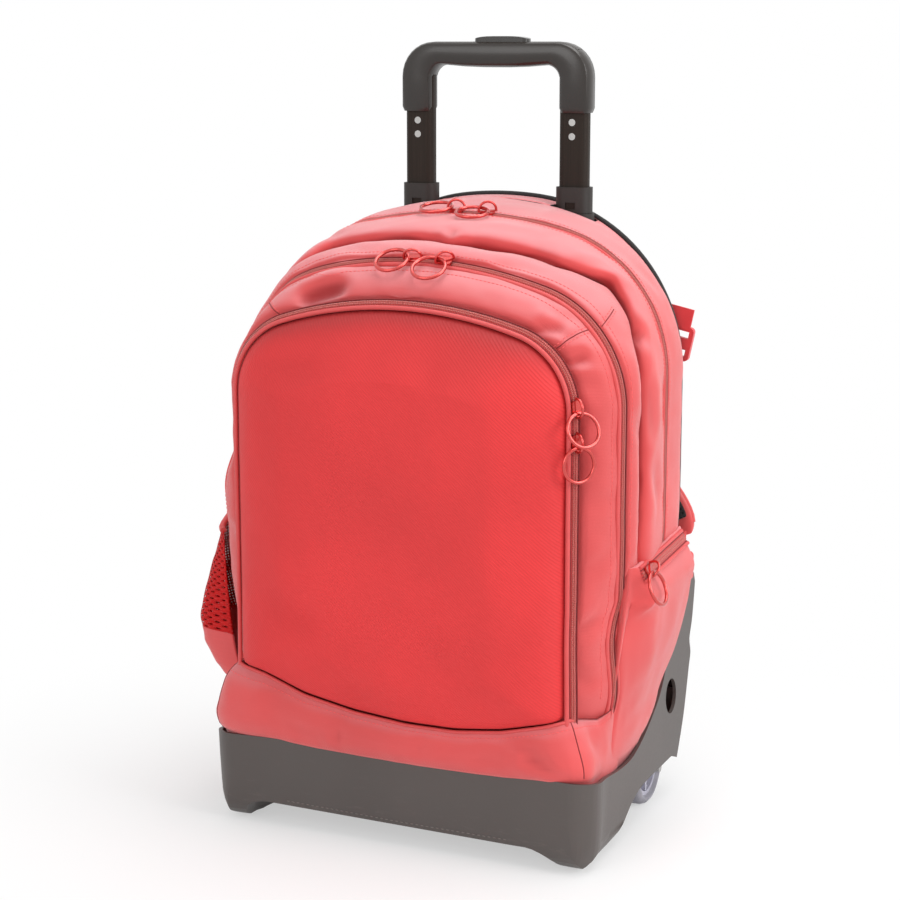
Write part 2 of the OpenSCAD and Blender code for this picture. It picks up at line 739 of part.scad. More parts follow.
// Front pocket with its crowned panel, held inside the slanted zip
function pocket_ring(y, d, raise) =
    let (half = pocket_half_w - d)
    at_y(y, concat(arch(pocket_spec, d, seam_at(half) + raise),
        [for (k = [-4 : 4]) let (x = k / 5 * half) [x, seam_at(x) + raise]]));
module front_pocket() {
    edge = pocket_zip_drop;
    crown = [[11, 6, 2], [19, 21, 14], [26, 38, 28], [panel_front + pocket_zip_y[0] - 0.4, 56, 45]];
    color(coral) loft(concat(
        [pocket_ring(-front_y - touch, groove + 0.3, 0),
         pocket_ring(pocket_zip_y[0] + 0.2, edge + groove, 0),
         pocket_ring(pocket_zip_y[0] - 0.4, edge + groove, 0),
         pocket_ring(pocket_zip_y[0] - 0.8, edge + 0.4, 0)],
        [for (c = crown) pocket_ring(pocket_zip_y[0] - c[0], edge + c[1], c[2])]));
}

// Lower front panel, tucked into the base and bulging over its rim: sections from left to right
module bottom_band() {
    back = -front_y - touch;
    half_w = base_half_w - wall - 5;
    // level: how far its front stands before the origin, extra half width, corner radius across
    levels = [[base_front - wall - touch, 0, 28], [base_front + 5, 1, 34], [base_front + 9, 2, 40],
        [base_front + 7, 0.5, 42]];
    function front_at(level, x) =
        let (into = max(0, abs(x) - (half_w + level[1] - level[2])) / level[2])
        back - 0.2 - (level[0] + back - 0.2) * sqrt(1 - into * into);
    function section(x) =
        let (top = seam_at(x) - 2.6)
        [[x, back, bag_bottom], [x, back, top], [x, front_at(levels[3], x), top],
         [x, front_at(levels[2], x), (rim_z + top) / 2 + 6], [x, front_at(levels[1], x), rim_z + 8],
         [x, front_at(levels[0], x), rim_z + 1], [x, front_at(levels[0], x), bag_bottom]];
    half = [0, 40, 75, 105, 124, 138, 148, 156, 161, half_w - 0.4];
    color(coral) loft([for (x = concat([for (x = reversed(half)) -x], [for (k = [1 : 9]) half[k]]))
        section(x)]);
}

module back_panel() {
    channel_w = outer_w + 2 * collar_wall + 0.8;
    spec = [bag_half_w - 15, bag_top + 9, 108, 398, side_taper];
    color(webbing_black) difference() {
        loft([for (s = [[back_face_y, 1], [handle_y, 0], [panel_back_y - 5, 0.3],
            [panel_back_y - 1.5, 2], [panel_back_y, 6]]) at_y(s[0], arch(spec, s[1], rim_z + 18))]);
        both_sides() translate([handle_x - channel_w / 2, back_face_y - 1, 0])
            cube([channel_w, handle_y + outer_d / 2 + collar_wall + 0.4 - back_face_y + 1, 700]);
    }
}

// The flank as a line of points, its last piece drawn on in a straight line to the height "top"
function flank_line(gap, zs) = [for (z = zs) [flank_x(bag_half_w, side_taper, z) + gap, z]];
function drawn_to(line, top) =
    let (n = len(line) - 1, a = line[n - 1], b = line[n])
    concat([for (i = [0 : n - 1]) line[i]], [a + (b - a) * (top - a[1]) / (b[1] - a[1])]);

// Side pocket: section from the flank outwards, swept from front to back
module side_pocket() {
    flank = flank_line(touch + 0.1, [pocket_low, 161, 204, side_top]);
    edge = flank[3][0];
    function section(y, out) =
        let (top = side_top + side_rise * y)
        concat([for (p = drawn_to(flank, top)) [p[0], y, p[1]]],
            [[edge + 1, y, top + 1.5], [edge + out, y, top - (out - 1) / tan(side_zip_slope)],
             [edge + out, y, 192], [edge + out * 0.75 - 2, y, 160],
             [flank[0][0] + 1.5, y, pocket_low]]);
    color(coral) loft([for (s = reversed([[-62, 2], [-57, 7], [-50, side_bulge], [0, side_bulge],
        [46, side_bulge], [55, 9], [61, 2]])) section(s[0], s[1])]);
}

// Open bottle pocket on the other flank: what its section, its plan and its slanting rim have in
// common, hollowed by a leaning lens-shaped prism
module bottle_pocket() {
    rim = [262, 284];
    lean = 4.3;
    top = rim[1] + 2;
    flank = flank_line(touch + 0.1, [pocket_low, 161, 204, 247, 290]);
    section = concat(drawn_to(flank, top), [[flank[3][0] + bottle_bulge * 1.05, top],
        [flank[3][0] + bottle_bulge * 1.02, 205], [flank[1][0] + bottle_bulge * 0.8, 155],
        [flank[0][0] + 1.5, pocket_low]]);
    lens = [[-62, 3.2], [-56, 12], [-44, bottle_bulge - 2], [-10, bottle_bulge * 1.04],
        [20, bottle_bulge * 1.04], [46, bottle_bulge - 4], [56, 11], [62, 3.2]];
    color(coral) mirror([1, 0, 0]) difference() {
        intersection() {
            translate([0, 62, 0]) rotate([90, 0, 0]) linear_extrude(height = 124) polygon(section);
            linear_extrude(height = 300) polygon(concat([[150, -62]],
                [for (p = lens) [flank[3][0] + p[1], p[0]]], [[150, 62]]));
            translate([150, 0, 0]) rotate([90, 0, 90]) linear_extrude(height = 70)
                polygon([[-62, pocket_low], [62, pocket_low], [62, rim[1]], [-62, rim[0]]]);
        }
        translate([flank_x(bag_half_w, side_taper, 215) + 3.4, 0, 215]) rotate([0, lean, 0])
            translate([0, 0, -37]) linear_extrude(height = 150)
            polygon([[0, -53.3], [6.9, -52.6], [13.9, -43.1], [16.5, -11], [16.5, 19],
                [12.9, 43.4], [6.1, 51.3], [0, 52.2]]);
    }
}

module shoulder_strap() {
    path = smooth([[60, panel_back_y + strap_t / 2 + touch, 488], [64, 126, 462], [70, 134, 424],
        [80, 138, 372], [98, 138, 320], [124, 136, 280], adjuster_at + [-10, 9.5, 45],
        adjuster_at + [0, 4, 23]], 3);
    tab_y = adjuster_at[1] - (adjuster_t + webbing_t) / 2 - touch;
    tab = [adjuster_at + [-1, 2.5, 30], adjuster_at + [0, -2, 22], [adjuster_at[0], tab_y, 220],
        [adjuster_at[0], tab_y, 202]];
    color(coral) {
        strap(path, [64, 40], strap_t, [0, 1, 0]);
        strap(tab, [20, 20], webbing_t, [0, 1, 0]);
    }
}
module shoulder_strap_right() { shoulder_strap(); }
module shoulder_strap_left() { mirror([1, 0, 0]) shoulder_strap(); }

// Ladder buckle lying in the XZ plane, centred
module ladder_buckle(w, h, t) {
    slot = w - 8;
    rotate([90, 0, 0]) translate([0, 0, -t / 2]) linear_extrude(height = t) difference() {
        rounded_rect(w, h, 4);
        for (z = [-h / 4 - 0.5, h / 4 + 0.5]) translate([0, z]) square([slot, h / 5], center = true);
    }
}
module strap_adjusters() {
    color(coral) both_sides() translate(adjuster_at) ladder_buckle(32, 26, adjuster_t);
}
// Webbing threaded through the lower slot and led down to the rear wall of the base
module lower_webbing() {
    front = adjuster_at[1] - adjuster_t / 2 - webbing_t;
    foot_x = adjuster_at[0] - 0.5;
    path = smooth([adjuster_at + [0, 4.5, -6.2], adjuster_at + [0, 0, -6.9],
        [adjuster_at[0], front + 0.4, adjuster_at[2] - 9], [adjuster_at[0], front, adjuster_at[2] - 13],
        [foot_x, front, 182], [foot_x, front, 160], [foot_x, front, 130], [foot_x, 114, 108],
        [foot_x, rear_wall_y + 1.3, 88], [foot_x, rear_wall_y + 1.1, 66]], 3);
    color(webbing_black) both_sides() strap(path, [14, 14], webbing_t, [0, 1, 0]);
}
module side_buckles() {
    thick = 5;
    color(coral) both_sides() translate([158, panel_back_y, 405]) rotate([0, 12, 0]) {
        translate([0, touch + thick / 2, 0]) ladder_buckle(32, 30, thick);
        translate([-12, 0, 13]) cube([24, 1.8, 18]);
    }
}
module haul_loop() {
    thick = 4;
    flat_y = panel_back_y + thick / 2 + 2 * touch;
    half = [[0, 129.5, bag_top - 1], [18, 128, bag_top - 3], [36, 121, bag_top - 9],
        [46, flat_y, bag_top - 15], [58, flat_y, bag_top - 23]];
    other = [for (k = [4 : -1 : 1]) [-half[k][0], half[k][1], half[k][2]]];
    path = smooth(concat(other, half), 3);
    color(webbing_black) strap(path, [25, 25], thick, [0, 1, 0]);
}

// ---- Zips ----------------------------------------------------------------------------

module zip_track_main() { color(tape_brown) bag_track(zip_main_y, 250); }
module zip_track_front() { color(tape_brown) bag_track(zip_front_y, 131); }
module zip_track_pocket() {
    color(tape_brown) arched_track(pocket_zip_y[0], pocket_spec, pocket_zip_drop,
        pocket_zip_y[1], pocket_spec, seam_at(pocket_half_w) + 2);
}
// Frame on the side pocket's zip: x towards the front, z out of the tape
module at_side_zip(y) {
    edge = flank_x(bag_half_w, side_taper, side_top) + touch + 1.1;
    translate([edge + side_zip_in * sin(side_zip_slope), y,
        side_top + 1.5 + side_rise * y - side_zip_in * cos(side_zip_slope)])
        rotate([0, 90 - side_zip_slope, 0])
        rotate([0, 0, atan(side_rise * cos(side_zip_slope)) - 90])
        rotate([0, atan(side_rise * sin(side_zip_slope)), 0])
        translate([0, 0, side_tape_t + 0.1]) children();
}
module zip_track_side() {
    len = side_zip_y[1] - side_zip_y[0];
    color(tape_brown) at_side_zip(side_zip_y[0])
        translate([-len, -zip_w / 2, -side_tape_t]) cube([len, zip_w, side_tape_t]);
}

// Slider frames: x along the track, z out of it
function track_mid(y) = (bag_spec(y - zip_w / 2) + bag_spec(y + zip_w / 2)) / 2;
function track_tilt(y) = atan((bag_spec(y + zip_w / 2)[1] - bag_spec(y - zip_w / 2)[1]) / zip_w);
module on_crown(y, x) {
    spec = track_mid(y);
    translate([0, y, spec[1] - spec[3]]) rotate([0, asin(x / spec[3]), 0]) translate([0, 0, spec[3]])
        rotate([track_tilt(y), 0, 0]) children();
}
pocket_mid_y = (pocket_zip_y[0] + pocket_zip_y[1]) / 2;
pocket_tilt = atan(pocket_zip_drop / (pocket_zip_y[1] - pocket_zip_y[0]));
pocket_corner_z = pocket_top - pocket_spec[3]
    + sqrt(pow(pocket_spec[3] - pocket_spec[2], 2) - pow(pocket_half_w - pocket_spec[2], 2));
module on_pocket_flank(z) {
    corner_x = pocket_half_w - pocket_spec[2];
    reach = pocket_spec[2] - pocket_zip_drop / 2;
    turn = z > pocket_corner_z ? asin((z - pocket_corner_z) / reach) : 0;
    translate([corner_x, pocket_mid_y, min(z, pocket_corner_z)]) rotate([0, 90 - turn, 0])
        translate([0, 0, reach]) rotate([pocket_tilt, 0, 0]) children();
}

// Slider body, the saddle across it and the arched bail on the saddle
module slider(bail_turn) {
    color(pull_pink) {
        translate([0, 0, slider_lift]) rounded_bar(slider_l, slider_w, 2.5, slider_t);
        rotate([0, 0, bail_turn]) {
            translate([0, 0, bail_foot - saddle_t - 0.2])
                rounded_bar(2 * (bail_r + bail_wire), saddle_w, 1.6, saddle_t + 0.2);
            translate([0, 0, bail_foot - 0.1]) rotate([90, 0, 0])
                rotate_extrude(angle = 180) translate([bail_r, 0]) circle(bail_wire, $fn = 24);
        }
    }
}
// Ring through a bail: it lies along the turn angle, raised by lay
module pull_ring(bail_turn, turn, lay) {
    color(pull_pink) rotate([0, 0, bail_turn]) translate([hinge_out, 0, hinge_h])
        rotate([0, 0, turn - bail_turn]) rotate([0, -lay, 0]) translate([ring_r, 0, 0])
        rotate_extrude() translate([ring_r, 0]) circle(ring_wire, $fn = 24);
}

left_turn = [190, 200];
right_turn = [215, 250];
module slider_main_left() { on_crown(zip_main_y, main_left_x) slider(left_turn[0]); }
module ring_main_left() { on_crown(zip_main_y, main_left_x) pull_ring(left_turn[0], left_turn[1], 0); }
module slider_main_right() { on_crown(zip_main_y, main_right_x) slider(right_turn[0]); }
module ring_main_right() { on_crown(zip_main_y, main_right_x) pull_ring(right_turn[0], right_turn[1], 0); }
module slider_front_left() { on_crown(zip_front_y, front_left_x) slider(left_turn[0]); }
module ring_front_left() { on_crown(zip_front_y, front_left_x) pull_ring(left_turn[0], 211, 0); }
module slider_front_right() { on_crown(zip_front_y, front_right_x) slider(right_turn[0]); }
module ring_front_right() { on_crown(zip_front_y, front_right_x) pull_ring(right_turn[0], right_turn[1], 0); }
module slider_pocket_upper() { on_pocket_flank(upper_slider_z) slider(0); }
module ring_pocket_upper() { on_pocket_flank(upper_slider_z) pull_ring(0, 0, 19); }
module slider_pocket_lower() { on_pocket_flank(lower_slider_z) slider(0); }
module ring_pocket_lower() { on_pocket_flank(lower_slider_z) pull_ring(0, 0, 2); }
module slider_side() { at_side_zip(side_slider_y) slider(40); }
module ring_side() { at_side_zip(side_slider_y) pull_ring(40, 72, -8); }

base_shell();
base_board();
base_screws();
back_guard();
guard_screws();
wheel_axles();
tyre_left();
tyre_right();
hub_left();
hub_right();
bushes_left();
bushes_right();
outer_tube_left();
outer_tube_right();
tube_sockets();
outer_collars();
middle_tube_left();
middle_tube_right();
middle_collars();
inner_tube_left();
inner_tube_right();
end_plugs();
grip();
grip_rivets();
release_button();
release_yoke();
lock_pin_left();
lock_pin_right();
main_compartment();
front_compartment();
front_pocket();
bottom_band();
side_pocket();
bottle_pocket();
back_panel();
shoulder_strap_left();
shoulder_strap_right();
lower_webbing();
strap_adjusters();
side_buckles();
haul_loop();
zip_track_pocket();
zip_track_front();
zip_track_main();
zip_track_side();
slider_main_left();
slider_main_right();
slider_front_left();
slider_front_right();
slider_pocket_upper();
slider_pocket_lower();
slider_side();
ring_main_left();
ring_main_right();
ring_front_left();
ring_front_right();
ring_pocket_upper();
ring_pocket_lower();
ring_side();
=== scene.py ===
import math

import bmesh
import bpy
import numpy as np
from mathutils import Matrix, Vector
from mathutils.bvhtree import BVHTree


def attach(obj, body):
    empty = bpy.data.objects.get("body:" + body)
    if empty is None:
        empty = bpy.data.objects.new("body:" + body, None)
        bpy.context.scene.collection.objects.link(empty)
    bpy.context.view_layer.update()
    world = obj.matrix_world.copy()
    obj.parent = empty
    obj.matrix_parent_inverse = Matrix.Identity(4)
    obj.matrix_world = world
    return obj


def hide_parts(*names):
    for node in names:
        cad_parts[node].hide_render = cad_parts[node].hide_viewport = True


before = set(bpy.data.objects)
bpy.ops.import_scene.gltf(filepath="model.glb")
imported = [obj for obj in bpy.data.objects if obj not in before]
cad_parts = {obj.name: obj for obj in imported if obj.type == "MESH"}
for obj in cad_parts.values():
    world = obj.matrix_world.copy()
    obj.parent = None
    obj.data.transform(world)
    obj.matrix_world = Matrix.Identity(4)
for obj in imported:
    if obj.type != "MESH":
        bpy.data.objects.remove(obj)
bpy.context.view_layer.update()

bl_info = {
    "name": "Wheeled School Backpack",
    "version": (1, 0, 0),
    "blender": (4, 5, 0),
    "location": "3D View > Sidebar > Backpack",
    "description": "Cloth, zips, pulls, mouldings and studio for a school backpack on wheels",
    "category": "Object",
}

# Lengths in the making below are millimetres; meshes are written in metres.
MM = 0.001
TAU = 2 * math.pi
SAME_PLACE = 0.00001

# ---------------------------------------------------------------------------
# Shader expressions
# ---------------------------------------------------------------------------


def add_node(tree, kind, settings=None, sockets=None):
    """Adds a node: its settings first, then the values or links of its sockets."""
    made = tree.nodes.new(kind)
    for key, value in (settings or {}).items():
        setattr(made, key, value)
    for key, value in (sockets or {}).items():
        value = value.socket if isinstance(value, Value) else value
        if isinstance(value, bpy.types.NodeSocket):
            tree.links.new(value, made.inputs[key])
        else:
            made.inputs[key].default_value = value
    return made


class Value:
    """A shader socket that can stand in a Python expression."""

    def __init__(self, finish, socket):
        self.finish = finish
        self.socket = socket

    def math(self, operation, *others):
        sockets = dict(enumerate((self, *others)))
        return self.finish.node("ShaderNodeMath", {"operation": operation}, sockets)

    def __add__(self, other):
        return self.math("ADD", other)

    def __sub__(self, other):
        return self.math("SUBTRACT", other)

    def __mul__(self, other):
        return self.math("MULTIPLY", other)

    def __truediv__(self, other):
        return self.math("DIVIDE", other)

    def __rsub__(self, other):
        return self.finish.node("ShaderNodeMath", {"operation": "SUBTRACT"}, {0: other, 1: self})

    __radd__ = __add__
    __rmul__ = __mul__

    def sine(self):
        return self.math("SINE")

    def absolute(self):
        return self.math("ABSOLUTE")

    def fraction(self):
        return self.math("FRACT")

    def power(self, exponent):
        return self.math("POWER", exponent)

    def over(self, low, high):
        """0 below low, 1 above high, smooth between."""
        return self.finish.node(
            "ShaderNodeMapRange",
            {"interpolation_type": "SMOOTHSTEP"},
            {"Value": self, "From Min": low, "From Max": high},
        )


class Finish:
    """A material built from nodes, one principled shader at its end."""

    def __init__(self, name, constants):
        self.material = bpy.data.materials.new(name)
        self.material.use_nodes = True
        self.tree = self.material.node_tree
        self.tree.nodes.clear()
        self.shader = self.tree.nodes.new("ShaderNodeBsdfPrincipled")
        self.end = add_node(self.tree, "ShaderNodeOutputMaterial", None, {"Surface": self.shader.outputs[0]})
        for key, value in constants.items():
            self.shader.inputs[key].default_value = value

    def node(self, kind, settings=None, sockets=None, out=0):
        return Value(self, add_node(self.tree, kind, settings, sockets).outputs[out])

    def where(self):
        return self.node("ShaderNodeTexCoord", out="Object")

    def cloth_map(self):
        return self.node("ShaderNodeUVMap", {"uv_map": "cloth"})

    def parts(self, vector):
        """The three numbers of a vector, as values."""
        split = add_node(self.tree, "ShaderNodeSeparateXYZ", None, {0: vector})
        return [Value(self, split.outputs[k]) for k in range(3)]

    def attribute(self, name):
        return self.node("ShaderNodeAttribute", {"attribute_name": name}, out="Fac")

    def noise(self, vector, scale, detail=3.0, roughness=0.5):
        return self.node("ShaderNodeTexNoise", None, {
            "Vector": vector, "Scale": scale, "Detail": detail, "Roughness": roughness})

    def mix(self, factor, first, second):
        return self.node("ShaderNodeMix", {"data_type": "RGBA"}, {0: factor, 6: first, 7: second}, 2)

    def stretched(self, vector, scale):
        return self.node("ShaderNodeVectorMath", {"operation": "MULTIPLY"}, {0: vector, 1: scale})

    def bump(self, height, distance, strength=1.0, normal=None):
        sockets = {"Height": height, "Distance": distance, "Strength": strength}
        return self.node("ShaderNodeBump", None, {**sockets, **({"Normal": normal} if normal else {})})

    def feed(self, **sockets):
        """Joins values to the shader's sockets, named with _ for each space."""
        for key, value in sockets.items():
            self.tree.links.new(value.socket, self.shader.inputs[key.replace("_", " ")])
        return self.material


def shade(colour, factor):
    """A darker or lighter copy of a colour, with its alpha."""
    return (*[min(1.0, c * factor) for c in colour[:3]], 1.0)


def weave_of(finish, pitch, diagonal):
    """Height of a woven face, 0 to 1, from the cloth map: plain, or twill with its diagonal."""
    across, along, _ = finish.parts(finish.cloth_map())
    weft = (across * (TAU / pitch)).sine()
    warp = (along * (TAU / pitch)).sine()
    if diagonal:
        rib = ((across + along) * (TAU / (2.0 * pitch))).sine()
        return rib * 0.36 + weft * warp * 0.14 + 0.5
    return weft * warp * 0.5 + 0.5


def cloth_finish(name, colour, pitch, diagonal=False, relief=0.22 * MM, sheen=0.5, painted_top_weight=0.20,
                 painted_top_colour=(0.98, 0.80, 0.86, 1.0)):
    """Dyed polyester: weave, slubs, painted shade in creases, a soft sheen, and painted light or shade on
    faces that look up.
    """
    finish = Finish(name, {"Sheen Weight": sheen, "Sheen Roughness": 0.48,
                           "Sheen Tint": (1.0, 0.88, 0.90, 1.0), "Specular IOR Level": 0.38})
    place = finish.where()
    weave = weave_of(finish, pitch, diagonal)
    cloudy = finish.noise(place, 9.0, 2.0)
    slub = finish.noise(finish.stretched(finish.cloth_map(), (160.0, 1100.0, 1.0)), 1.0, 2.0)
    rub = finish.noise(place, 55.0, 4.0, 0.6)
    tone = finish.mix(cloudy.over(0.34, 0.68), shade(colour, 0.93), shade(colour, 1.05))
    tone = finish.mix(weave * 0.45, tone, shade(colour, 0.74))
    tone = finish.mix(slub.over(0.55, 0.80) * 0.16, tone, shade(colour, 1.22))
    # Painted light or shade on faces that look up, mixed in as the normal turns upwards.
    _, _, up = finish.parts(finish.node("ShaderNodeNewGeometry", out="Normal"))
    tone = finish.mix(up.over(0.20, 0.95) * painted_top_weight, tone, painted_top_colour)
    # Painted shade: the cloth turns deep red where the fold attribute marks creases, grooves and the edges of
    # seams.
    deep = (colour[0] * 0.46, colour[1] * 0.10, colour[2] * 0.12, 1.0)
    tone = finish.mix(finish.attribute("fold").over(0.10, 1.0) * 0.9, tone, deep)
    rough = 0.60 + rub * 0.10 - weave * 0.06
    surface = finish.bump(weave * 0.8 + slub * 0.2, relief, 0.75)
    surface = finish.bump(rub, 0.35 * MM, 0.30, surface)
    return finish.feed(Base_Color=tone, Roughness=rough, Normal=surface)


def net_finish(name, colour, cell):
    """Knitted mesh with open round holes, seen through its alpha."""
    finish = Finish(name, {"Specular IOR Level": 0.2})
    across, along, _ = finish.parts(finish.cloth_map())
    row_height = 0.866
    u, v = across / cell, along / (cell * row_height)
    odd = (v * 0.5).fraction().over(0.499, 0.501)
    du = ((u + odd * 0.5).fraction() - 0.5).absolute()
    dv = (v.fraction() - 0.5).absolute() * row_height
    span = (du.power(2.0) + dv.power(2.0)).power(0.5)
    yarn = span.over(0.19, 0.24)
    twist = (span * 40.0).sine() * 0.5 + 0.5
    tone = finish.mix(yarn * 0.6 + twist * 0.3, shade(colour, 0.75), colour)
    surface = finish.bump(span.over(0.25, 0.5), 0.5 * MM, 0.9)
    finish.material.surface_render_method = "DITHERED"
    return finish.feed(Base_Color=tone, Alpha=yarn, Normal=surface)


def spacer_finish(name, colour):
    """Air mesh over foam: a honeycomb of small dimples, painted darker inside and lighter at their rims, with
    painted shade in creases.
    """
    finish = Finish(name, {"Sheen Weight": 0.3, "Sheen Roughness": 0.5, "Specular IOR Level": 0.3})
    cells = finish.node("ShaderNodeTexVoronoi", {"feature": "DISTANCE_TO_EDGE"}, {
        "Vector": finish.cloth_map(), "Scale": 300.0, "Randomness": 0.25})
    wall = 1.0 - cells.over(0.05, 0.30)
    fuzz = finish.noise(finish.where(), 900.0, 2.0)
    # Painted light and shade of the relief: rims of the cells lighter, their dimples darker.
    tone = finish.mix(wall, shade(colour, 0.35), shade(colour, 1.5))
    # Painted shade in creases, from the fold attribute.
    tone = finish.mix(finish.attribute("fold").over(0.1, 1.0) * 0.8, tone, shade(colour, 0.25))
    surface = finish.bump(wall * 0.85 + fuzz * 0.15, 0.9 * MM, 0.9)
    return finish.feed(Base_Color=tone, Roughness=0.78 + fuzz * 0.12, Normal=surface)


def webbing_finish(name, colour):
    """Narrow woven strap: ribs across, chevron along, worn fluffier at the edges."""
    finish = Finish(name, {"Sheen Weight": 0.3, "Sheen Roughness": 0.4, "Specular IOR Level": 0.35})
    across, along, _ = finish.parts(finish.cloth_map())
    chevron = ((across.absolute() + along) * (TAU / (2.2 * MM))).sine() * 0.5 + 0.5
    yarn = (across * (TAU / (1.3 * MM))).sine() * 0.5 + 0.5
    fuzz = finish.noise(finish.where(), 700.0)
    tone = finish.mix(chevron * 0.6 + fuzz * 0.4, shade(colour, 0.65), shade(colour, 1.7))
    surface = finish.bump(chevron * 0.7 + yarn * 0.3, 0.35 * MM, 0.8)
    return finish.feed(Base_Color=tone, Roughness=0.62 + fuzz * 0.2, Normal=surface)


def thread_finish(name, colour, rough):
    """Sewing thread, cord and coils: a fine twist in the colour and the relief."""
    finish = Finish(name, {"Sheen Weight": 0.2, "Sheen Roughness": 0.35, "Specular IOR Level": 0.5})
    x, y, z = finish.parts(finish.where())
    twist = ((x + y * 0.7 + z * 1.3) * (TAU / (0.9 * MM))).sine() * 0.5 + 0.5
    mottle = finish.noise(finish.where(), 120.0)
    tone = finish.mix(twist * 0.45 + mottle * 0.3, colour, shade(colour, 0.72))
    surface = finish.bump(twist, 0.10 * MM, 0.6)
    return finish.feed(Base_Color=tone, Roughness=rough + mottle * 0.12, Normal=surface)


def moulding_finish(name, colour, rough=0.42, grain=520.0, relief=0.05 * MM):
    """Moulded plastic: fine spark grain, faint flow marks, scuffs towards the ground."""
    finish = Finish(name, {"Specular IOR Level": 0.5})
    place = finish.where()
    _, _, height = finish.parts(place)
    fine = finish.noise(place, grain, 4.0, 0.6)
    flow = finish.noise(finish.stretched(place, (9.0, 9.0, 3.0)), 1.0, 2.0)
    scuff = finish.noise(finish.stretched(place, (70.0, 70.0, 260.0)), 1.0, 5.0, 0.65)
    low = 1.0 - height.over(0.0, 0.05)
    worn = scuff.over(0.56, 0.70) * (low * 0.7 + 0.10)
    tone = finish.mix(flow.over(0.3, 0.7), shade(colour, 0.94), shade(colour, 1.06))
    tone = finish.mix(fine * 0.22, tone, shade(colour, 0.80))
    tone = finish.mix(worn, tone, shade(colour, 1.45))
    surface = finish.bump(fine, relief, 0.8)
    surface = finish.bump(flow, 1.2 * MM, 0.10, surface)
    return finish.feed(Base_Color=tone, Roughness=rough + fine * 0.10 + worn * 0.2, Normal=surface)


def gloss_finish(name, colour, rough, metallic, coat):
    """Polished or lacquered surface: fine ripple, handling haze and tiny scratches."""
    finish = Finish(name, {"Coat Roughness": 0.08, "Specular IOR Level": 0.55,
                           "Metallic": metallic, "Coat Weight": coat})
    place = finish.where()
    haze = finish.noise(place, 38.0, 4.0, 0.6)
    hair = finish.noise(finish.stretched(place, (900.0, 900.0, 60.0)), 1.0, 3.0, 0.7)
    tone = finish.mix(haze.over(0.35, 0.7) * 0.6, colour, shade(colour, 0.82))
    tone = finish.mix(hair.over(0.66, 0.78) * 0.25, tone, shade(colour, 1.5))
    surface = finish.bump(hair, 0.03 * MM, 0.4, finish.bump(haze, 0.25 * MM, 0.15))
    return finish.feed(Base_Color=tone, Roughness=rough + haze * 0.10 + hair * 0.06, Normal=surface)


def drawn_finish(name, colour):
    """Anodised drawn tube: long fine lines, slightly worn where the stages slide."""
    finish = Finish(name, {"Specular IOR Level": 0.14, "Metallic": 0.12})
    place = finish.where()
    lines = finish.noise(finish.stretched(place, (1400.0, 1400.0, 14.0)), 1.0, 3.0, 0.6)
    patch = finish.noise(place, 26.0, 4.0, 0.6)
    tone = finish.mix(lines.over(0.3, 0.75), shade(colour, 0.85), shade(colour, 1.18))
    tone = finish.mix(patch.over(0.58, 0.75) * 0.25, tone, shade(colour, 1.5))
    surface = finish.bump(lines, 0.04 * MM, 0.5)
    return finish.feed(Base_Color=tone, Roughness=0.42 + lines * 0.12, Normal=surface)


def rubber_finish(name, colour):
    """Wheel rubber: matt, dusty where it meets the ground."""
    finish = Finish(name, {"Specular IOR Level": 0.4})
    place = finish.where()
    dust = finish.noise(place, 85.0, 5.0, 0.65)
    fine = finish.noise(place, 900.0, 2.0)
    tone = finish.mix(dust.over(0.42, 0.72), colour, shade(colour, 1.22))
    surface = finish.bump(fine * 0.6 + dust * 0.4, 0.12 * MM, 0.8)
    return finish.feed(Base_Color=tone, Roughness=0.62 + dust * 0.2, Normal=surface)


# ---------------------------------------------------------------------------
# Outlines of the bag
# ---------------------------------------------------------------------------

# Distance behind the origin, then what the bag's outline measures there
HALF_WIDTH = [(-106, 157), (-75, 180), (-44.5, 183), (12, 185), (62, 182), (79.2, 167)]
TOP = [(-106, 461), (-75, 487), (-44.5, 501), (12, 519), (62, 526), (79.2, 528)]
CORNER = [(-106, 72), (-75, 100), (12, 120), (62, 132), (79.2, 140)]
CROWN = [(-106, 350), (-44.5, 350), (12, 400), (62, 320), (79.2, 300)]
TAPER, TAPER_FROM, TAPER_TO = 18.0, 290.0, 118.0
FRONT_Y, FRONT_ZIP_Y, CREASE_Y, MAIN_ZIP_Y, BACK_Y = -106.0, -75.0, -44.5, 12.0, 79.2
FLANK = 185
# Half width, top, corner radius, crown radius and taper
POCKET = (155.0, 459.0, 70.0, 350.0, 0.0)
BACK = (165.0, 527.5, 146.0, 305.0, 16.0)
# Front edge, rear edge and inset of the front pocket's zip
POCKET_ZIP = (-115.0, -106.4, 7.0)
# Seam between the front panel and the lower band: x, height
BAND_SEAM = [(-160, 146), (-150, 142), (-121, 136), (-84, 122.5), (-37, 113.5), (10, 109), (54, 109),
             (95, 114), (131, 123), (150, 129), (160, 131)]


def table(rows, at):
    return np.interp(at, [r[0] for r in rows], [r[1] for r in rows])


def ramp(low, high, at):
    """0 at low, 1 at high, smooth between; low may be the greater."""
    t = np.clip((np.asarray(at, float) - low) / (high - low), 0, 1)
    return t * t * (3 - 2 * t)


def bell(at, middle, width):
    return np.exp(-(((np.asarray(at, float) - middle) / width) ** 2))


def bag_spec(y):
    return table(HALF_WIDTH, y), table(TOP, y), table(CORNER, y), table(CROWN, y), TAPER


def drawn_in(z):
    """How far the flanks are drawn in towards the foot, 0 to 1."""
    return np.clip((TAPER_FROM - np.asarray(z, float)) / (TAPER_FROM - TAPER_TO), 0, 1)


def along_line(points):
    """Arc length at each point of a line."""
    return np.concatenate([[0], np.cumsum(np.linalg.norm(np.diff(points, axis=0), axis=1))])


def unit(vectors):
    return vectors / np.linalg.norm(vectors, axis=1, keepdims=True)


def corner_height(spec):
    """Height where an outline's flank meets its corner."""
    half, top, corner, crown, _ = spec
    return top - crown + math.sqrt((crown - corner) ** 2 - (half - corner) ** 2)


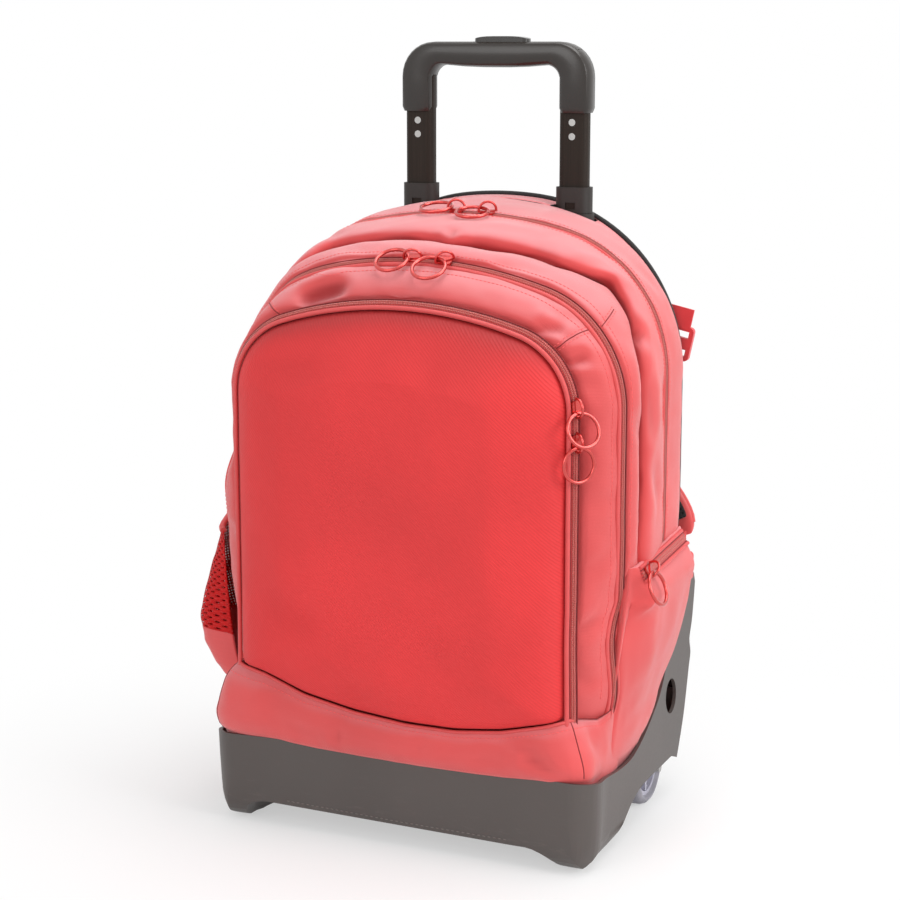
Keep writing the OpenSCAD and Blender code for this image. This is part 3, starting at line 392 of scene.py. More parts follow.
def arch(spec, floor, counts=(58, 26, 20)):
    """Right foot, up the flank, over the crown and down: points and normals in x, z, and arc length."""
    half, top, corner, crown, taper = spec
    corner_z = corner_height(spec)
    lean = math.asin((half - corner) / (crown - corner))
    z = np.linspace(floor, corner_z, counts[0])
    drawn = drawn_in(z)
    slope = 2 * taper * drawn / (TAPER_FROM - TAPER_TO)
    steep = 1 / np.sqrt(1 + slope**2)
    rows = [np.column_stack([half - taper * drawn**2, z, steep, -slope * steep])]
    for start, end, count, across, foot, radius in (
            (0, math.pi / 2 - lean, counts[1], half - corner, corner_z, corner),
            (math.pi / 2 - lean, math.pi / 2, counts[2], 0, top - crown, crown)):
        t = np.linspace(start, end, count)[1:]
        rows.append(np.column_stack([across + radius * np.cos(t), foot + radius * np.sin(t),
                                     np.cos(t), np.sin(t)]))
    right = np.vstack(rows)
    whole = np.vstack([right, right[-2::-1] * [-1, 1, -1, 1]])
    points, normals = whole[:, :2], whole[:, 2:]
    length = along_line(points)
    return points, normals, length - length[-1] / 2


def stood(flat, y):
    """Points of x and height, stood up at y."""
    return np.column_stack([flat[:, 0], np.full(len(flat), float(y)), flat[:, 1]])


def arch_row(y, floor, out=0.0, spec=None):
    """One outline at y as 3D points moved out by a number or an array, with 3D normals."""
    points, normals, length = arch(spec or bag_spec(y), floor)
    moved = points + normals * np.reshape(out, (-1, 1))
    return stood(moved, y), stood(normals, 0), length


def ripple(points, size, seed, octaves=2):
    """Gentle undulation from -1 to 1, the same on each run."""
    chance = np.random.default_rng(seed)
    total = np.zeros(points.shape[:-1])
    weight = 0.0
    for octave in range(octaves):
        for _ in range(5):
            way = chance.normal(size=3)
            way *= TAU / (size * (0.7 + 0.6 * chance.random())) / np.linalg.norm(way) * 2**octave
            total += np.sin(points @ way + chance.random() * TAU) / 2**octave
        weight += 2.2 / 2**octave
    return np.clip(total / weight, -1.4, 1.4)


def drape(points):
    """How the cloth hangs as one smooth field, so that panels, seams and zips stay together."""
    moved = np.array(points, float)
    x, y, z = moved[..., 0].copy(), moved[..., 1].copy(), moved[..., 2].copy()
    right, left = ramp(130, 160, x), ramp(130, 160, -x)
    low = ramp(92, 125, z)
    # the front zip sways on the lower right flank, and its foot runs back
    sway = table([(118, 13), (130, 13), (150, 9), (187, 3), (205, 8), (218, 12), (235, 6), (254, 3),
                  (290, 0)], z)
    moved[..., 1] += sway * right * bell(y, FRONT_ZIP_Y, 20) * low
    outwards = 6.0 * ramp(180, 135, z) - 3.0 * bell(z, 200, 22)
    moved[..., 0] += right * low * bell(y, FRONT_ZIP_Y, 24) * outwards
    # the left flank is slack, so its edge waves, and it sinks in above its pocket
    wave = 2.0 * np.sin(z / 27.0) + 1.3 * np.sin(z / 13.5 + 1.0)
    moved[..., 0] += left * wave * bell(y, -78, 26) * ramp(440, 400, z) * low * 0.8
    moved[..., 0] += 15.0 * ramp(-80, -165, x) * ramp(280, 340, z) * ramp(-104, -82, y) * ramp(75, 20, y)
    # the crown between the zips sags between its corners
    over = ramp(420, 470, z)
    moved[..., 2] -= over * 2.2 * np.sin((x + 20) / 46.0) * bell(y, -52, 22)
    moved[..., 1] += over * 1.6 * np.sin(x / 33.0 + 0.6) * bell(y, -75, 9) * ramp(120, 60, np.abs(x - 10))
    # the crease wanders
    wander = table([(-185, 0), (-125, 3), (-101, 14), (-60, 8), (-13, 4), (0, 3), (15.6, -4), (32, 3),
                    (58, 5), (86, 12), (109, 8), (126, 16), (143, 32), (159, 24), (173, 10), (182, 2)], x)
    near = table([(-70, 0), (CREASE_Y, 1), (5, 0)], y)
    moved[..., 1] += wander * ramp(300, 400, z) * near
    return moved


def fold(points, line, width, depth, shoulder=0.35):
    """Movement of a fold along a line of points: a valley where depth is positive, its lips raised."""
    line = np.array(line, float)
    best = np.full(points.shape[:-1], 1e9)
    along = np.zeros(points.shape[:-1])
    lengths = np.linalg.norm(np.diff(line, axis=0), axis=1)
    done = 0.0
    for a, b, span in zip(line[:-1], line[1:], lengths):
        way = b - a
        t = np.clip(((points - a) @ way) / span**2, 0, 1)
        gap = np.linalg.norm(points - (a + t[..., None] * way), axis=-1)
        nearer = gap < best
        best = np.where(nearer, gap, best)
        along = np.where(nearer, (done + t * span) / lengths.sum(), along)
        done += span
    q = best / width
    fade = np.clip(4.5 * along * (1 - along), 0, 1) ** 0.7
    return -depth * fade * (np.exp(-q * q) - shoulder * np.exp(-((q - 1.7) ** 2) * 1.6))


def pressed(points, folds, move, deep, gain=1.0, dark_at=6.0, amount=1.0, shoulder=0.35):
    """Adds folds of (line, width, depth) to a movement, and their painted shade to the depth of the creases.
    """
    for line, width, depth in folds:
        moved = fold(points, line, width, depth * gain, shoulder) * amount
        move = move + moved
        deep = np.maximum(deep, np.clip(-moved / dark_at, 0, 1))
    return move, deep


# ---------------------------------------------------------------------------
# Meshes
# ---------------------------------------------------------------------------


def linked(name, data):
    """A new object in the scene."""
    thing = bpy.data.objects.new(name, data)
    bpy.context.scene.collection.objects.link(thing)
    return thing


def face_out(mesh):
    """Turns a closed mesh the right way round."""
    work = bmesh.new()
    work.from_mesh(mesh)
    bmesh.ops.recalc_face_normals(work, faces=work.faces)
    if work.calc_volume(signed=True) < 0:
        bmesh.ops.reverse_faces(work, faces=work.faces)
    work.to_mesh(mesh)
    work.free()


def shade_smooth(mesh):
    mesh.polygons.foreach_set("use_smooth", [True] * len(mesh.polygons))


def lay_cloth(mesh, cloth_map, folds=None):
    """Gives a mesh its cloth map, in metres, and how deep in a crease each vertex is, which the finishes
    paint as shade.
    """
    if cloth_map is not None:
        layer = mesh.uv_layers.new(name="cloth")
        corner = np.empty(len(mesh.loops), np.int32)
        mesh.loops.foreach_get("vertex_index", corner)
        layer.data.foreach_set("uv", cloth_map.reshape(-1, 2)[corner].astype(np.float32).ravel())
    made = mesh.attributes.new("fold", "FLOAT", "POINT")
    if folds is not None:
        made.data.foreach_set("value", np.ravel(folds).astype(np.float32))


def piece(name, points, faces=None, cloth_map=None, folds=None, closed=True):
    """An object at the origin from points, or from rows of closed rings where no faces are given."""
    mesh = bpy.data.meshes.new(name)
    faces = loft_faces(*points.shape[:2]) if faces is None else faces
    points = np.asarray(points, float).reshape(-1, 3)
    mesh.from_pydata((points * MM).tolist(), [], [tuple(f) for f in faces])
    mesh.update()
    lay_cloth(mesh, None if cloth_map is None else np.asarray(cloth_map) * MM, folds)
    if closed:
        face_out(mesh)
    shade_smooth(mesh)
    return linked(name, mesh)


def quads(rows, columns, wrap):
    """Faces of a grid of points, its columns joined round where wrap is true."""
    index = np.arange(rows * columns).reshape(rows, columns)
    following = np.roll(index, -1, axis=1) if wrap else index[:, 1:]
    first = index if wrap else index[:, :-1]
    made = np.stack([first[:-1], following[:-1], following[1:], first[1:]], axis=-1)
    return made.reshape(-1, 4).tolist()


def ladder(ring):
    """Quads that close a ring, rung by rung, from its two ends that lie side by side."""
    ring = [int(k) for k in ring]
    n = len(ring)
    rungs = [(ring[k], ring[k + 1], ring[n - 2 - k], ring[n - 1 - k]) for k in range(n // 2 - 1)]
    if n % 2:
        k = n // 2 - 1
        rungs.append((ring[k], ring[k + 1], ring[k + 2]))
    return rungs


def loft_faces(rows, columns):
    """Faces of a closed solid through rows of closed rings."""
    ring = np.arange(columns)
    return (quads(rows, columns, True) + ladder(ring[::-1]) + ladder(ring + (rows - 1) * columns))


def grid_normals(points):
    """Normals of a grid of points from its own rows and columns."""
    normal = np.cross(np.gradient(points, axis=0), np.gradient(points, axis=1))
    return normal / np.maximum(np.linalg.norm(normal, axis=-1, keepdims=True), 1e-9)


def spans(points):
    """Arc length down each column of a grid."""
    steps = np.linalg.norm(np.diff(points, axis=0), axis=-1)
    return np.vstack([np.zeros(points.shape[1]), np.cumsum(steps, axis=0)])


def shell(name, rows, floor, features):
    """Closed bag shell over outlines at y, row by row, its cloth then moved by features."""
    base, _, length = (np.array(part) for part in zip(*(arch_row(y, floor(y)) for y in rows)))
    points = drape(base)
    normals = grid_normals(points)
    if normals[len(rows) // 2, points.shape[1] // 2, 2] < 0:
        normals = -normals
    move, deep = features(points, base)
    points = points + normals * move[..., None]
    return piece(name, points, None, np.stack([length, spans(points)], axis=-1), deep)


def sweep(name, path, sides, ups, section):
    """Closed strip along a path: section points (across, up) set on each frame, its map across, along."""
    section = np.array(section, float)
    if section.ndim == 2:
        section = np.repeat(section[None], len(path), axis=0)
    points = (path[:, None] + sides[:, None] * section[..., :1] + ups[:, None] * section[..., 1:])
    along = np.repeat(along_line(path)[:, None], section.shape[1], axis=1)
    return piece(name, points, None, np.stack([section[..., 0], along], axis=-1))


def smooth_path(points, step):
    """Catmull-Rom curve through points, resampled to an even step."""
    p = np.array(points, float)
    padded = np.vstack([2 * p[0] - p[1], p, 2 * p[-1] - p[-2]])
    out = []
    for a, b, c, d in zip(padded[:-3], padded[1:-2], padded[2:-1], padded[3:]):
        t = np.linspace(0, 1, 24, endpoint=False)[:, None]
        out.append(0.5 * (2 * b + (c - a) * t + (2 * a - 5 * b + 4 * c - d) * t**2
                          + (3 * b - a - 3 * c + d) * t**3))
    fine = np.vstack([*out, p[-1:]])
    return even(fine, step)


def resampled(values, line, count):
    """Values known along a line, read at evenly spaced points of it."""
    along = along_line(line)
    at = np.linspace(0, along[-1], count)
    return np.column_stack([np.interp(at, along, column) for column in values.T])


def even(points, step):
    """The same line with evenly spaced points."""
    points = np.asarray(points, float)
    return resampled(points, points, max(2, int(round(along_line(points)[-1] / step)) + 1))


def frames(path, up):
    """Side and up vectors along a path, from one up vector."""
    tangent = unit(np.gradient(path, axis=0))
    side = unit(np.cross(tangent, np.broadcast_to(np.array(up, float), path.shape)))
    return side, np.cross(side, tangent)


def oval(width, height, count, power=1.0):
    """Rounded section, flatter for a power below 1."""
    t = np.linspace(0, TAU, count, endpoint=False)
    c, s = np.cos(t), np.sin(t)
    return np.column_stack([np.sign(c) * np.abs(c) ** power * width / 2,
                            np.sign(s) * np.abs(s) ** power * height / 2])


def finish_piece(thing, finish, stands_for=(), subdivide=0):
    """Gives a piece its finish, its body and the solids that it stands for."""
    thing.data.materials.clear()
    thing.data.materials.append(FINISHES[finish])
    if subdivide:
        surface = thing.modifiers.new("Subdivision", "SUBSURF")
        surface.levels = surface.render_levels = subdivide
    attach(thing, "bag")
    if stands_for:
        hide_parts(*stands_for)
    return thing


# ---------------------------------------------------------------------------
# Geometry Nodes for what repeats along a seam
# ---------------------------------------------------------------------------


class Nodes:
    """A Geometry Nodes tree with named inputs."""

    def __init__(self, name, inputs):
        self.tree = bpy.data.node_groups.new(name, "GeometryNodeTree")
        face = self.tree.interface
        face.new_socket("Geometry", in_out="INPUT", socket_type="NodeSocketGeometry")
        self.names = {}
        for label, kind, value in [*inputs, ("Lift", "Float", 0.0), ("Material", "Material", None)]:
            socket = face.new_socket(label, in_out="INPUT", socket_type=f"NodeSocket{kind}")
            if value is not None:
                socket.default_value = value
            self.names[label] = socket.identifier
        face.new_socket("Geometry", in_out="OUTPUT", socket_type="NodeSocketGeometry")
        self.given = self.tree.nodes.new("NodeGroupInput").outputs
        self.line = self.node("GeometryNodeMeshToCurve", None, {0: self.given["Geometry"]})
        self.out = self.node("GeometryNodeInputNamedAttribute", {"data_type": "FLOAT_VECTOR"},
                             {"Name": "out"})

    def node(self, kind, settings=None, sockets=None, out=0):
        return add_node(self.tree, kind, settings, sockets).outputs[out]

    def lifted(self, line):
        """The line moved outwards by Lift."""
        lift = self.node("ShaderNodeVectorMath", {"operation": "SCALE"},
                         {0: self.out, "Scale": self.given["Lift"]})
        return self.node("GeometryNodeSetPosition", None, {"Geometry": line, "Offset": lift})

    def close(self, geometry):
        """Realizes the instances, smooths them and sets the material."""
        real = self.node("GeometryNodeRealizeInstances", None, {0: geometry})
        soft = self.node("GeometryNodeSetShadeSmooth", None, {0: real})
        done = self.node("GeometryNodeSetMaterial", None, {0: soft, "Material": self.given["Material"]})
        add_node(self.tree, "NodeGroupOutput", None, {0: done})
        return self


def grains_tree():
    """Small rounded grains at an even pitch along a line: stitches, coil teeth, ribs."""
    made = Nodes("Grains along a seam", [
        ("Pitch", "Float", 0.004), ("Length", "Float", 0.003), ("Width", "Float", 0.0006),
        ("Height", "Float", 0.0006), ("Turn", "Float", 0.0), ("Unevenness", "Float", 0.04),
        ("Seed", "Int", 5)])
    node, given = made.node, made.given
    points = node("GeometryNodeResampleCurve", {"mode": "LENGTH"},
                  {"Curve": made.line, "Length": given["Pitch"]})
    along = node("GeometryNodeInputTangent")
    turned = node("FunctionNodeAlignRotationToVector", {"axis": "X"}, {"Vector": along})
    upright = node("FunctionNodeAlignRotationToVector", {"axis": "Z", "pivot_axis": "X"},
                   {"Rotation": turned, "Vector": made.out})
    chance = node("FunctionNodeRandomValue", {"data_type": "FLOAT"},
                  {"Min": -1.0, "Max": 1.0, "Seed": given["Seed"]}, 1)
    drift = node("ShaderNodeMath", {"operation": "MULTIPLY_ADD"},
                 {0: chance, 1: given["Unevenness"], 2: given["Turn"]})
    yaw = node("ShaderNodeCombineXYZ", None, {"Z": drift})
    spin = node("FunctionNodeEulerToRotation", None, {0: yaw})
    rotation = node("FunctionNodeRotateRotation", {"rotation_space": "LOCAL"}, {0: upright, 1: spin})
    grain = node("GeometryNodeMeshUVSphere", None, {"Segments": 8, "Rings": 5, "Radius": 0.5})
    size = node("ShaderNodeCombineXYZ", None,
                {"X": given["Length"], "Y": given["Width"], "Z": given["Height"]})
    shaped = node("GeometryNodeTransform", None, {"Geometry": grain, "Scale": size})
    return made.close(node("GeometryNodeInstanceOnPoints", None, {
        "Points": made.lifted(points), "Instance": shaped, "Rotation": rotation}))


def cord_tree():
    """A round cord laid along a line: piping, binding, wire."""
    made = Nodes("Piping along a seam", [("Radius", "Float", 0.0016), ("Sides", "Int", 12)])
    ring = made.node("GeometryNodeCurvePrimitiveCircle", {"mode": "RADIUS"},
                     {"Resolution": made.given["Sides"], "Radius": made.given["Radius"]})
    return made.close(made.node("GeometryNodeCurveToMesh", None, {
        "Curve": made.lifted(made.line), "Profile Curve": ring, "Fill Caps": True}))


def along_lines(name, tree, lines, inputs, finish):
    """Runs a tree over lines of (points, out vectors) and keeps its result as one plain mesh."""
    points, outs, edges, start = [], [], [], 0
    for line, out in lines:
        line = np.asarray(line, float)
        points.append(line)
        outs.append(np.broadcast_to(np.asarray(out, float), line.shape))
        edges += [(start + k, start + k + 1) for k in range(len(line) - 1)]
        start += len(line)
    mesh = bpy.data.meshes.new(name + "_line")
    mesh.from_pydata((np.vstack(points) * MM).tolist(), edges, [])
    outward = mesh.attributes.new("out", "FLOAT_VECTOR", "POINT")
    outward.data.foreach_set("vector", np.vstack(outs).astype(np.float32).ravel())
    thing = linked(name, mesh)
    run = thing.modifiers.new("Repeat", "NODES")
    run.node_group = TREES[tree].tree
    for label, value in {**inputs, "Material": FINISHES[finish]}.items():
        run[TREES[tree].names[label]] = value
    thing.update_tag()
    plain(thing)
    if not thing.data.polygons:
        raise RuntimeError(f"{name}: the node tree made nothing")
    return finish_piece(thing, finish)


def cord(name, lines, radius, sides=12, lift=0.0, finish="piping"):
    """A round cord of a radius in millimetres along each line."""
    return along_lines(name, "cord", lines, {"Radius": radius * MM, "Sides": sides, "Lift": lift * MM},
                       finish)


def sew(name, lines, lift=0.0):
    """A row of stitches along each line."""
    sizes = bpy.context.scene.backpack_sizes
    return along_lines(name, "grains", lines, {
        "Pitch": sizes.stitch_pitch, "Length": sizes.stitch_length, "Width": sizes.thread * 1.25,
        "Height": sizes.thread, "Turn": 0.0, "Lift": lift * MM, "Unevenness": 0.05, "Seed": 5},
        "thread")


def plain(thing):
    """Applies an object's modifiers to its mesh."""
    view = bpy.context.evaluated_depsgraph_get()
    view.update()
    mesh = bpy.data.meshes.new_from_object(thing.evaluated_get(view), depsgraph=view)
    thing.modifiers.clear()
    old = thing.data
    thing.data = mesh
    mesh.name = thing.name
    bpy.data.meshes.remove(old)
    return thing


def smooth_by_angle(thing, degrees):
    """Smooth shading with sharp edges kept where faces meet at more than the angle."""
    thing.data.polygons.foreach_set("use_smooth", [True] * len(thing.data.polygons))
    split = thing.modifiers.new("Sharp edges", "EDGE_SPLIT")
    split.split_angle = math.radians(degrees)


# ---------------------------------------------------------------------------
# Sizes and colours
# ---------------------------------------------------------------------------


def dyed(red, green, blue):
    """A colour as it is mixed in linear light, from its values on a 0 to 255 colour card."""
    card = [c / 255 for c in (red, green, blue)]
    return tuple(c / 12.92 if c <= 0.04045 else ((c + 0.055) / 1.055) ** 2.4 for c in card)


def colour_property(name, description, default):
    return bpy.props.FloatVectorProperty(
        name=name, description=description, subtype="COLOR", size=3, min=0, max=1, default=default)


def length_property(name, description, default):
    return bpy.props.FloatProperty(
        name=name, description=description, subtype="DISTANCE", unit="LENGTH", min=0, default=default)


class BackpackColours(bpy.types.PropertyGroup):
    """Colours of the backpack's cloths and mouldings."""

    cloth: colour_property("Cloth", "Dyed polyester of the bag", dyed(229, 84, 84))
    panel: colour_property("Front panel", "Twill of the crowned front panel", dyed(230, 55, 57))
    net: colour_property("Net", "Knitted net of the bottle pocket", dyed(204, 16, 16))
    tape: colour_property("Zip coil", "Coils and tapes of the zips", dyed(200, 106, 98))
    # Colour of the dark cords laid as painted shadow lines along zips and seams.
    seam: colour_property("Seam line", "Shaded line beside the zips and seams", dyed(140, 34, 36))
    pull: colour_property("Pulls", "Lacquered metal of sliders and rings", dyed(212, 78, 74))
    buckle: colour_property("Buckles", "Plastic of the adjusters", dyed(229, 80, 84))
    padding: colour_property("Back padding", "Air mesh against the wearer's back", dyed(40, 38, 38))
    webbing: colour_property("Webbing", "Woven straps of the back", dyed(34, 33, 33))
    base: colour_property("Base", "Moulded base and its wings", dyed(84, 77, 74))
    guard: colour_property("Guard", "Moulded guard behind the base", dyed(78, 72, 69))
    tyre: colour_property("Tyres", "Rubber of the wheels", dyed(150, 148, 156))
    hub: colour_property("Hubs", "Spoked hubs of the wheels", dyed(186, 184, 198))
    tube: colour_property("Tubes", "Anodised tubes of the handle", dyed(46, 39, 34))
    grip: colour_property("Grip", "Gloss plastic of the grip", dyed(33, 25, 19))
    steel: colour_property("Steel", "Screws, rivets and axles", dyed(176, 174, 172))
    floor: colour_property("Floor", "Studio floor", (0.93, 0.93, 0.93))


class BackpackSizes(bpy.types.PropertyGroup):
    """Sizes of the sewn details."""

    stitch_pitch: length_property("Stitch pitch", "From one stitch to the next", 3.6 * MM)
    stitch_length: length_property("Stitch length", "Length of thread that shows", 2.7 * MM)
    thread: length_property("Thread", "Thickness of the sewing thread", 0.62 * MM)
    piping: length_property("Piping", "Radius of the cord along the zips", 1.9 * MM)
    coil_pitch: length_property("Coil pitch", "From one coil to the next", 1.5 * MM)
    weave: length_property("Weave", "Repeat of the cloth's weave", 1.1 * MM)
    twill: length_property("Twill", "Repeat of the front panel's twill", 1.5 * MM)
    net_cell: length_property("Net cell", "From one hole of the net to the next", 3.4 * MM)


FINISHES = {}
TREES = {}


def mix_finishes():
    """Makes each finish once, from the backpack's colours."""
    colours, sizes = bpy.context.scene.backpack_colours, bpy.context.scene.backpack_sizes

    def of(name):
        return (*getattr(colours, name), 1.0)

    TREES.update(grains=grains_tree(), cord=cord_tree())
    FINISHES.update(
        cloth=cloth_finish("Bag_cloth", of("cloth"), sizes.weave),
        # The panel's faces that look up get painted shade, a darker copy of its colour; the other cloths get
        # the pale painted light.
        panel=cloth_finish("Front_twill", of("panel"), sizes.twill, True, 0.30 * MM, 0.06, 0.9,
                           shade(of("panel"), 0.4)),
        net=net_finish("Bottle_net", of("net"), sizes.net_cell),
        padding=spacer_finish("Back_mesh", of("padding")),
        webbing=webbing_finish("Black_webbing", of("webbing")),
        coral_webbing=webbing_finish("Coral_webbing", of("cloth")),
        piping=thread_finish("Piping_cord", of("cloth"), 0.42),
        thread=thread_finish("Sewing_thread", shade(of("cloth"), 1.5), 0.5),
        # Dark cord for painted shadow lines along zips and seams.
        seam=thread_finish("Shadow_line", of("seam"), 0.7),
        coil=thread_finish("Zip_coil", of("tape"), 0.38),
        tape=webbing_finish("Zip_tape", shade(of("cloth"), 0.62)),
        base=moulding_finish("Base_moulding", of("base"), 0.40),
        marks=moulding_finish("Base_marks", shade(of("base"), 2.2), 0.5),
        guard=moulding_finish("Guard_moulding", of("guard"), 0.46),
        board=moulding_finish("Stiffening_board", of("guard"), 0.6),
        buckle=moulding_finish("Buckle_plastic", of("buckle"), 0.34, 700.0, 0.03 * MM),
        tyre=rubber_finish("Tyre_rubber", of("tyre")),
        hub=moulding_finish("Hub_plastic", of("hub"), 0.36, 600.0, 0.03 * MM),
        tube=drawn_finish("Anodised_tube", of("tube")),
        collar=moulding_finish("Collar_plastic", shade(of("tube"), 0.55), 0.5, 700.0, 0.03 * MM),
        grip=gloss_finish("Grip_gloss", of("grip"), 0.24, 0.0, 0.12),
        button=gloss_finish("Button_gloss", shade(of("grip"), 0.8), 0.2, 0.0, 0.5),
        steel=gloss_finish("Plated_steel", of("steel"), 0.24, 1.0, 0.0),
        pull=gloss_finish("Lacquered_pull", of("pull"), 0.18, 0.9, 0.6),
    )


# ---------------------------------------------------------------------------
# Cloth of the bag
# ---------------------------------------------------------------------------

SHORT_SEAMS = [[(133, -107, 426), (142, -92, 433), (152, -79.5, 439.5)],
               [(-127, -92, 447), (-118, -101, 443), (-108, -110, 438)],
               [(160, -47, 452), (158.5, -58, 446), (157, -69, 440)]]

# Every fold: the places it runs through, its width and its depth
FRONT_FOLDS = [
    ([(-97, -99, 449), (-76, -97, 457), (-50, -97, 465)], 9, 6.0),
    ([(-150, -96, 415), (-139, -90, 432), (-126, -86, 446)], 6, 1.6),
    ([(112, -103, 440), (122, -99, 439), (136, -93, 437)], 6.5, 3.2),
    ([(118, -90, 452), (129, -88, 447), (140, -84, 442)], 5, 1.4),
    ([(138, -107, 417), (146, -101, 416), (157, -93, 418)], 6, 2.8),
    ([(146, -108, 404), (153, -98, 398), (160, -86, 392)], 7, 1.5),
    ([(151, -108, 318), (157, -97, 306), (165, -84, 300)], 9, 1.6),
    ([(150, -106, 246), (158, -94, 252), (168, -82, 262)], 8, 1.5),
    ([(151, -104, 196), (158, -94, 204), (167, -82, 210)], 8, 1.8),
    ([(148, -108, 168), (155, -100, 160), (163, -86, 150)], 8, 1.6),
    ([(176, -68, 236), (180, -58, 228), (181, -50, 214)], 8, 1.6),
    ([(170, -66, 176), (174, -57, 186), (176, -48, 200)], 8, 1.8),
    ([(178, -66, 372), (181, -57, 362), (183, -50, 346)], 9, 1.5),
    ([(-150, -104, 330), (-158, -95, 318), (-168, -84, 312)], 9, 1.8),
    ([(-148, -104, 240), (-157, -95, 250), (-167, -82, 255)], 9, 2.0),
    ([(-149, -104, 180), (-157, -95, 172), (-166, -82, 168)], 8, 2.0),
    ([(60, -70, 484), (88, -62, 482), (112, -58, 476)], 7, 1.3),
    ([(-40, -66, 489), (-60, -60, 489), (-84, -56, 487)], 7, 1.2),
]
MAIN_FOLDS = [
    ([(15, -46, 500), (15.6, -41, 503), (14, -34, 506)], 5, 2.6),
    ([(120, -36, 486), (131, -28, 487), (143, -14, 480)], 8, 3.4),
    ([(143, -24, 480), (152, -21, 468), (160, -18, 459)], 8, 3.6),
    ([(166, -38, 446), (173, -34, 432), (176, -26, 421)], 7, 3.4),
    ([(182, -40, 398), (184, -36, 372), (185, -33, 342)], 8, 2.0),
    ([(184, -4, 396), (185, 0, 372), (185, 1, 350)], 10, 1.2),
    ([(181, -36, 330), (185, -22, 306), (186, -10, 285)], 9, 1.8),
    ([(-80, -30, 506), (-100, -22, 500), (-122, -8, 492)], 8, 1.5),
    ([(30, -30, 510), (60, -26, 510), (92, -20, 502)], 8, 1.5),
    ([(-176, -28, 420), (-182, -20, 392), (-184, -14, 360)], 9, 2.2),
    ([(150, 30, 484), (163, 40, 470), (172, 50, 455)], 8, 1.2),
]
PANEL_FOLDS = [
    ([(-132, -130, 404), (-84, -142, 406), (-30, -145, 411)], 17, 3.2),
    ([(-20, -145, 424), (12, -145, 428), (48, -143, 424)], 14, 1.6),
    ([(32, -143, 442), (36, -145, 414), (38, -146, 390)], 12, 1.5),
    ([(-128, -130, 214), (-92, -144, 196), (-48, -145, 182)], 26, 3.0),
    ([(-60, -145, 300), (-10, -146, 322), (40, -146, 346)], 34, 1.8),
    ([(-146, -118, 300), (-138, -126, 280), (-128, -132, 258)], 9, 1.5),
    ([(118, -136, 236), (130, -130, 226), (143, -121, 220)], 11, 1.5),
    ([(120, -135, 330), (131, -129, 340), (143, -121, 346)], 11, 1.3),
    ([(-30, -122, 116), (-26, -132, 128), (-18, -139, 146)], 8, 1.2),
    ([(70, -122, 115), (66, -131, 126), (58, -138, 142)], 8, 1.2),
    ([(-118, -120, 142), (-106, -129, 152), (-90, -137, 166)], 9, 1.5),
]
BAND_FOLDS = [
    ([(112, -128, 98), (132, -127, 92), (150, -116, 86)], 6, 2.6),
    ([(96, -130, 108), (122, -128, 103), (150, -117, 97)], 7, 1.8),
    ([(-53, -124, 84), (-49, -129, 92), (-45, -130, 100)], 6, 2.2),
    ([(-112, -122, 100), (-86, -129, 92), (-62, -129, 88)], 8, 1.5),
    ([(-150, -112, 122), (-140, -119, 108), (-128, -124, 96)], 7, 1.5),
    ([(20, -124, 84), (26, -130, 93), (33, -130, 101)], 6, 1.3),
    ([(66, -129, 86), (82, -130, 92), (100, -129, 94)], 6, 1.2),
    ([(160, -102, 112), (166, -90, 102), (169, -76, 92)], 7, 1.5),
]
SIDE_FOLDS = [
    ([(198, -52, 214), (201, -40, 206), (202, -26, 203)], 7, 2.0),
    ([(192, -50, 176), (196, -40, 184), (199, -22, 188)], 8, 1.6),
    ([(200, 50, 216), (201, 38, 206), (201, 24, 198)], 8, 1.8),
    ([(190, 8, 148), (194, 14, 160), (197, 22, 172)], 9, 1.2),
    ([(176, -56, 122), (182, -36, 132), (187, -14, 138)], 9, 1.8),
    ([(171, -52, 98), (174, -36, 106), (178, -16, 116)], 8, 1.6),
]


def soft(points, seed, fine=0.35, broad=0.9):
    """Small unevenness that every stuffed or hanging cloth has."""
    return broad * ripple(points, 75.0, seed) + fine * ripple(points, 24.0, seed + 1)


def groove(y, middle, depth=2.6):
    return -depth * (1 - ramp(4.4, 6.2, np.abs(y - middle)))


def crease(points, x, y, z):
    """The deep crease between the compartments: its strength, 0 to 1, and its unevenness."""
    open_up = 3.5 * bell(x, 143, 8) + 3.0 * bell(x, 173, 5) * ramp(360, 400, z) + 1.2 * bell(x, -112, 12)
    width = 2.0 + 0.5 * ripple(points, 45, 19) + open_up * (y > CREASE_Y)
    return bell(y, CREASE_Y, width) * ramp(235, 290, z), 1 + 0.35 * ripple(points, 60, 17)


def swelling(y, start, end, sharp=2.0, skew=1.0):
    """How far cloth bulges between two seams, 0 to 1."""
    return np.sin(np.clip((y - start) / (end - start), 0, 1) ** skew * math.pi) ** sharp


def sewn(points, y, low, zip_y, move, creased, folds, seed):
    """Adds a compartment's zip groove, folds and unevenness to its bulges, and paints shade into its creases
    and its zip groove.
    """
    deep = np.minimum(1, creased**1.6 * 1.3)
    move, deep = pressed(points, folds, move + groove(y, zip_y), deep, 1.5, 7.0)
    # Painted shade in the zip's groove.
    deep = np.maximum(deep, 0.35 * (1 - ramp(4.8, 7.5, np.abs(y - zip_y))))
    return move + soft(points, seed) * low, deep


def front_bag_features(points, base):
    """Bulges between the seams, the crease behind and the folds of the front compartment."""
    x, y, z = np.moveaxis(base, -1, 0)
    low = ramp(118, 150, z)
    flat = ramp(150, 170, x) * ramp(262, 240, z)
    creased, uneven = crease(points, x, y, z)
    between = 3.2 * swelling(y, FRONT_Y, FRONT_ZIP_Y) + 4.6 * swelling(y, FRONT_ZIP_Y, CREASE_Y) * (1 - flat)
    move = between * (0.3 + 0.7 * low) - 2.6 * creased * uneven - 3.0 * bell(y, FRONT_Y, 3.0)
    move, deep = sewn(points, y, low, FRONT_ZIP_Y, move, creased, FRONT_FOLDS, 11)
    # Painted shade along the seam to the front panel.
    return move, np.maximum(deep, 0.6 * bell(y, FRONT_Y, 3.2))


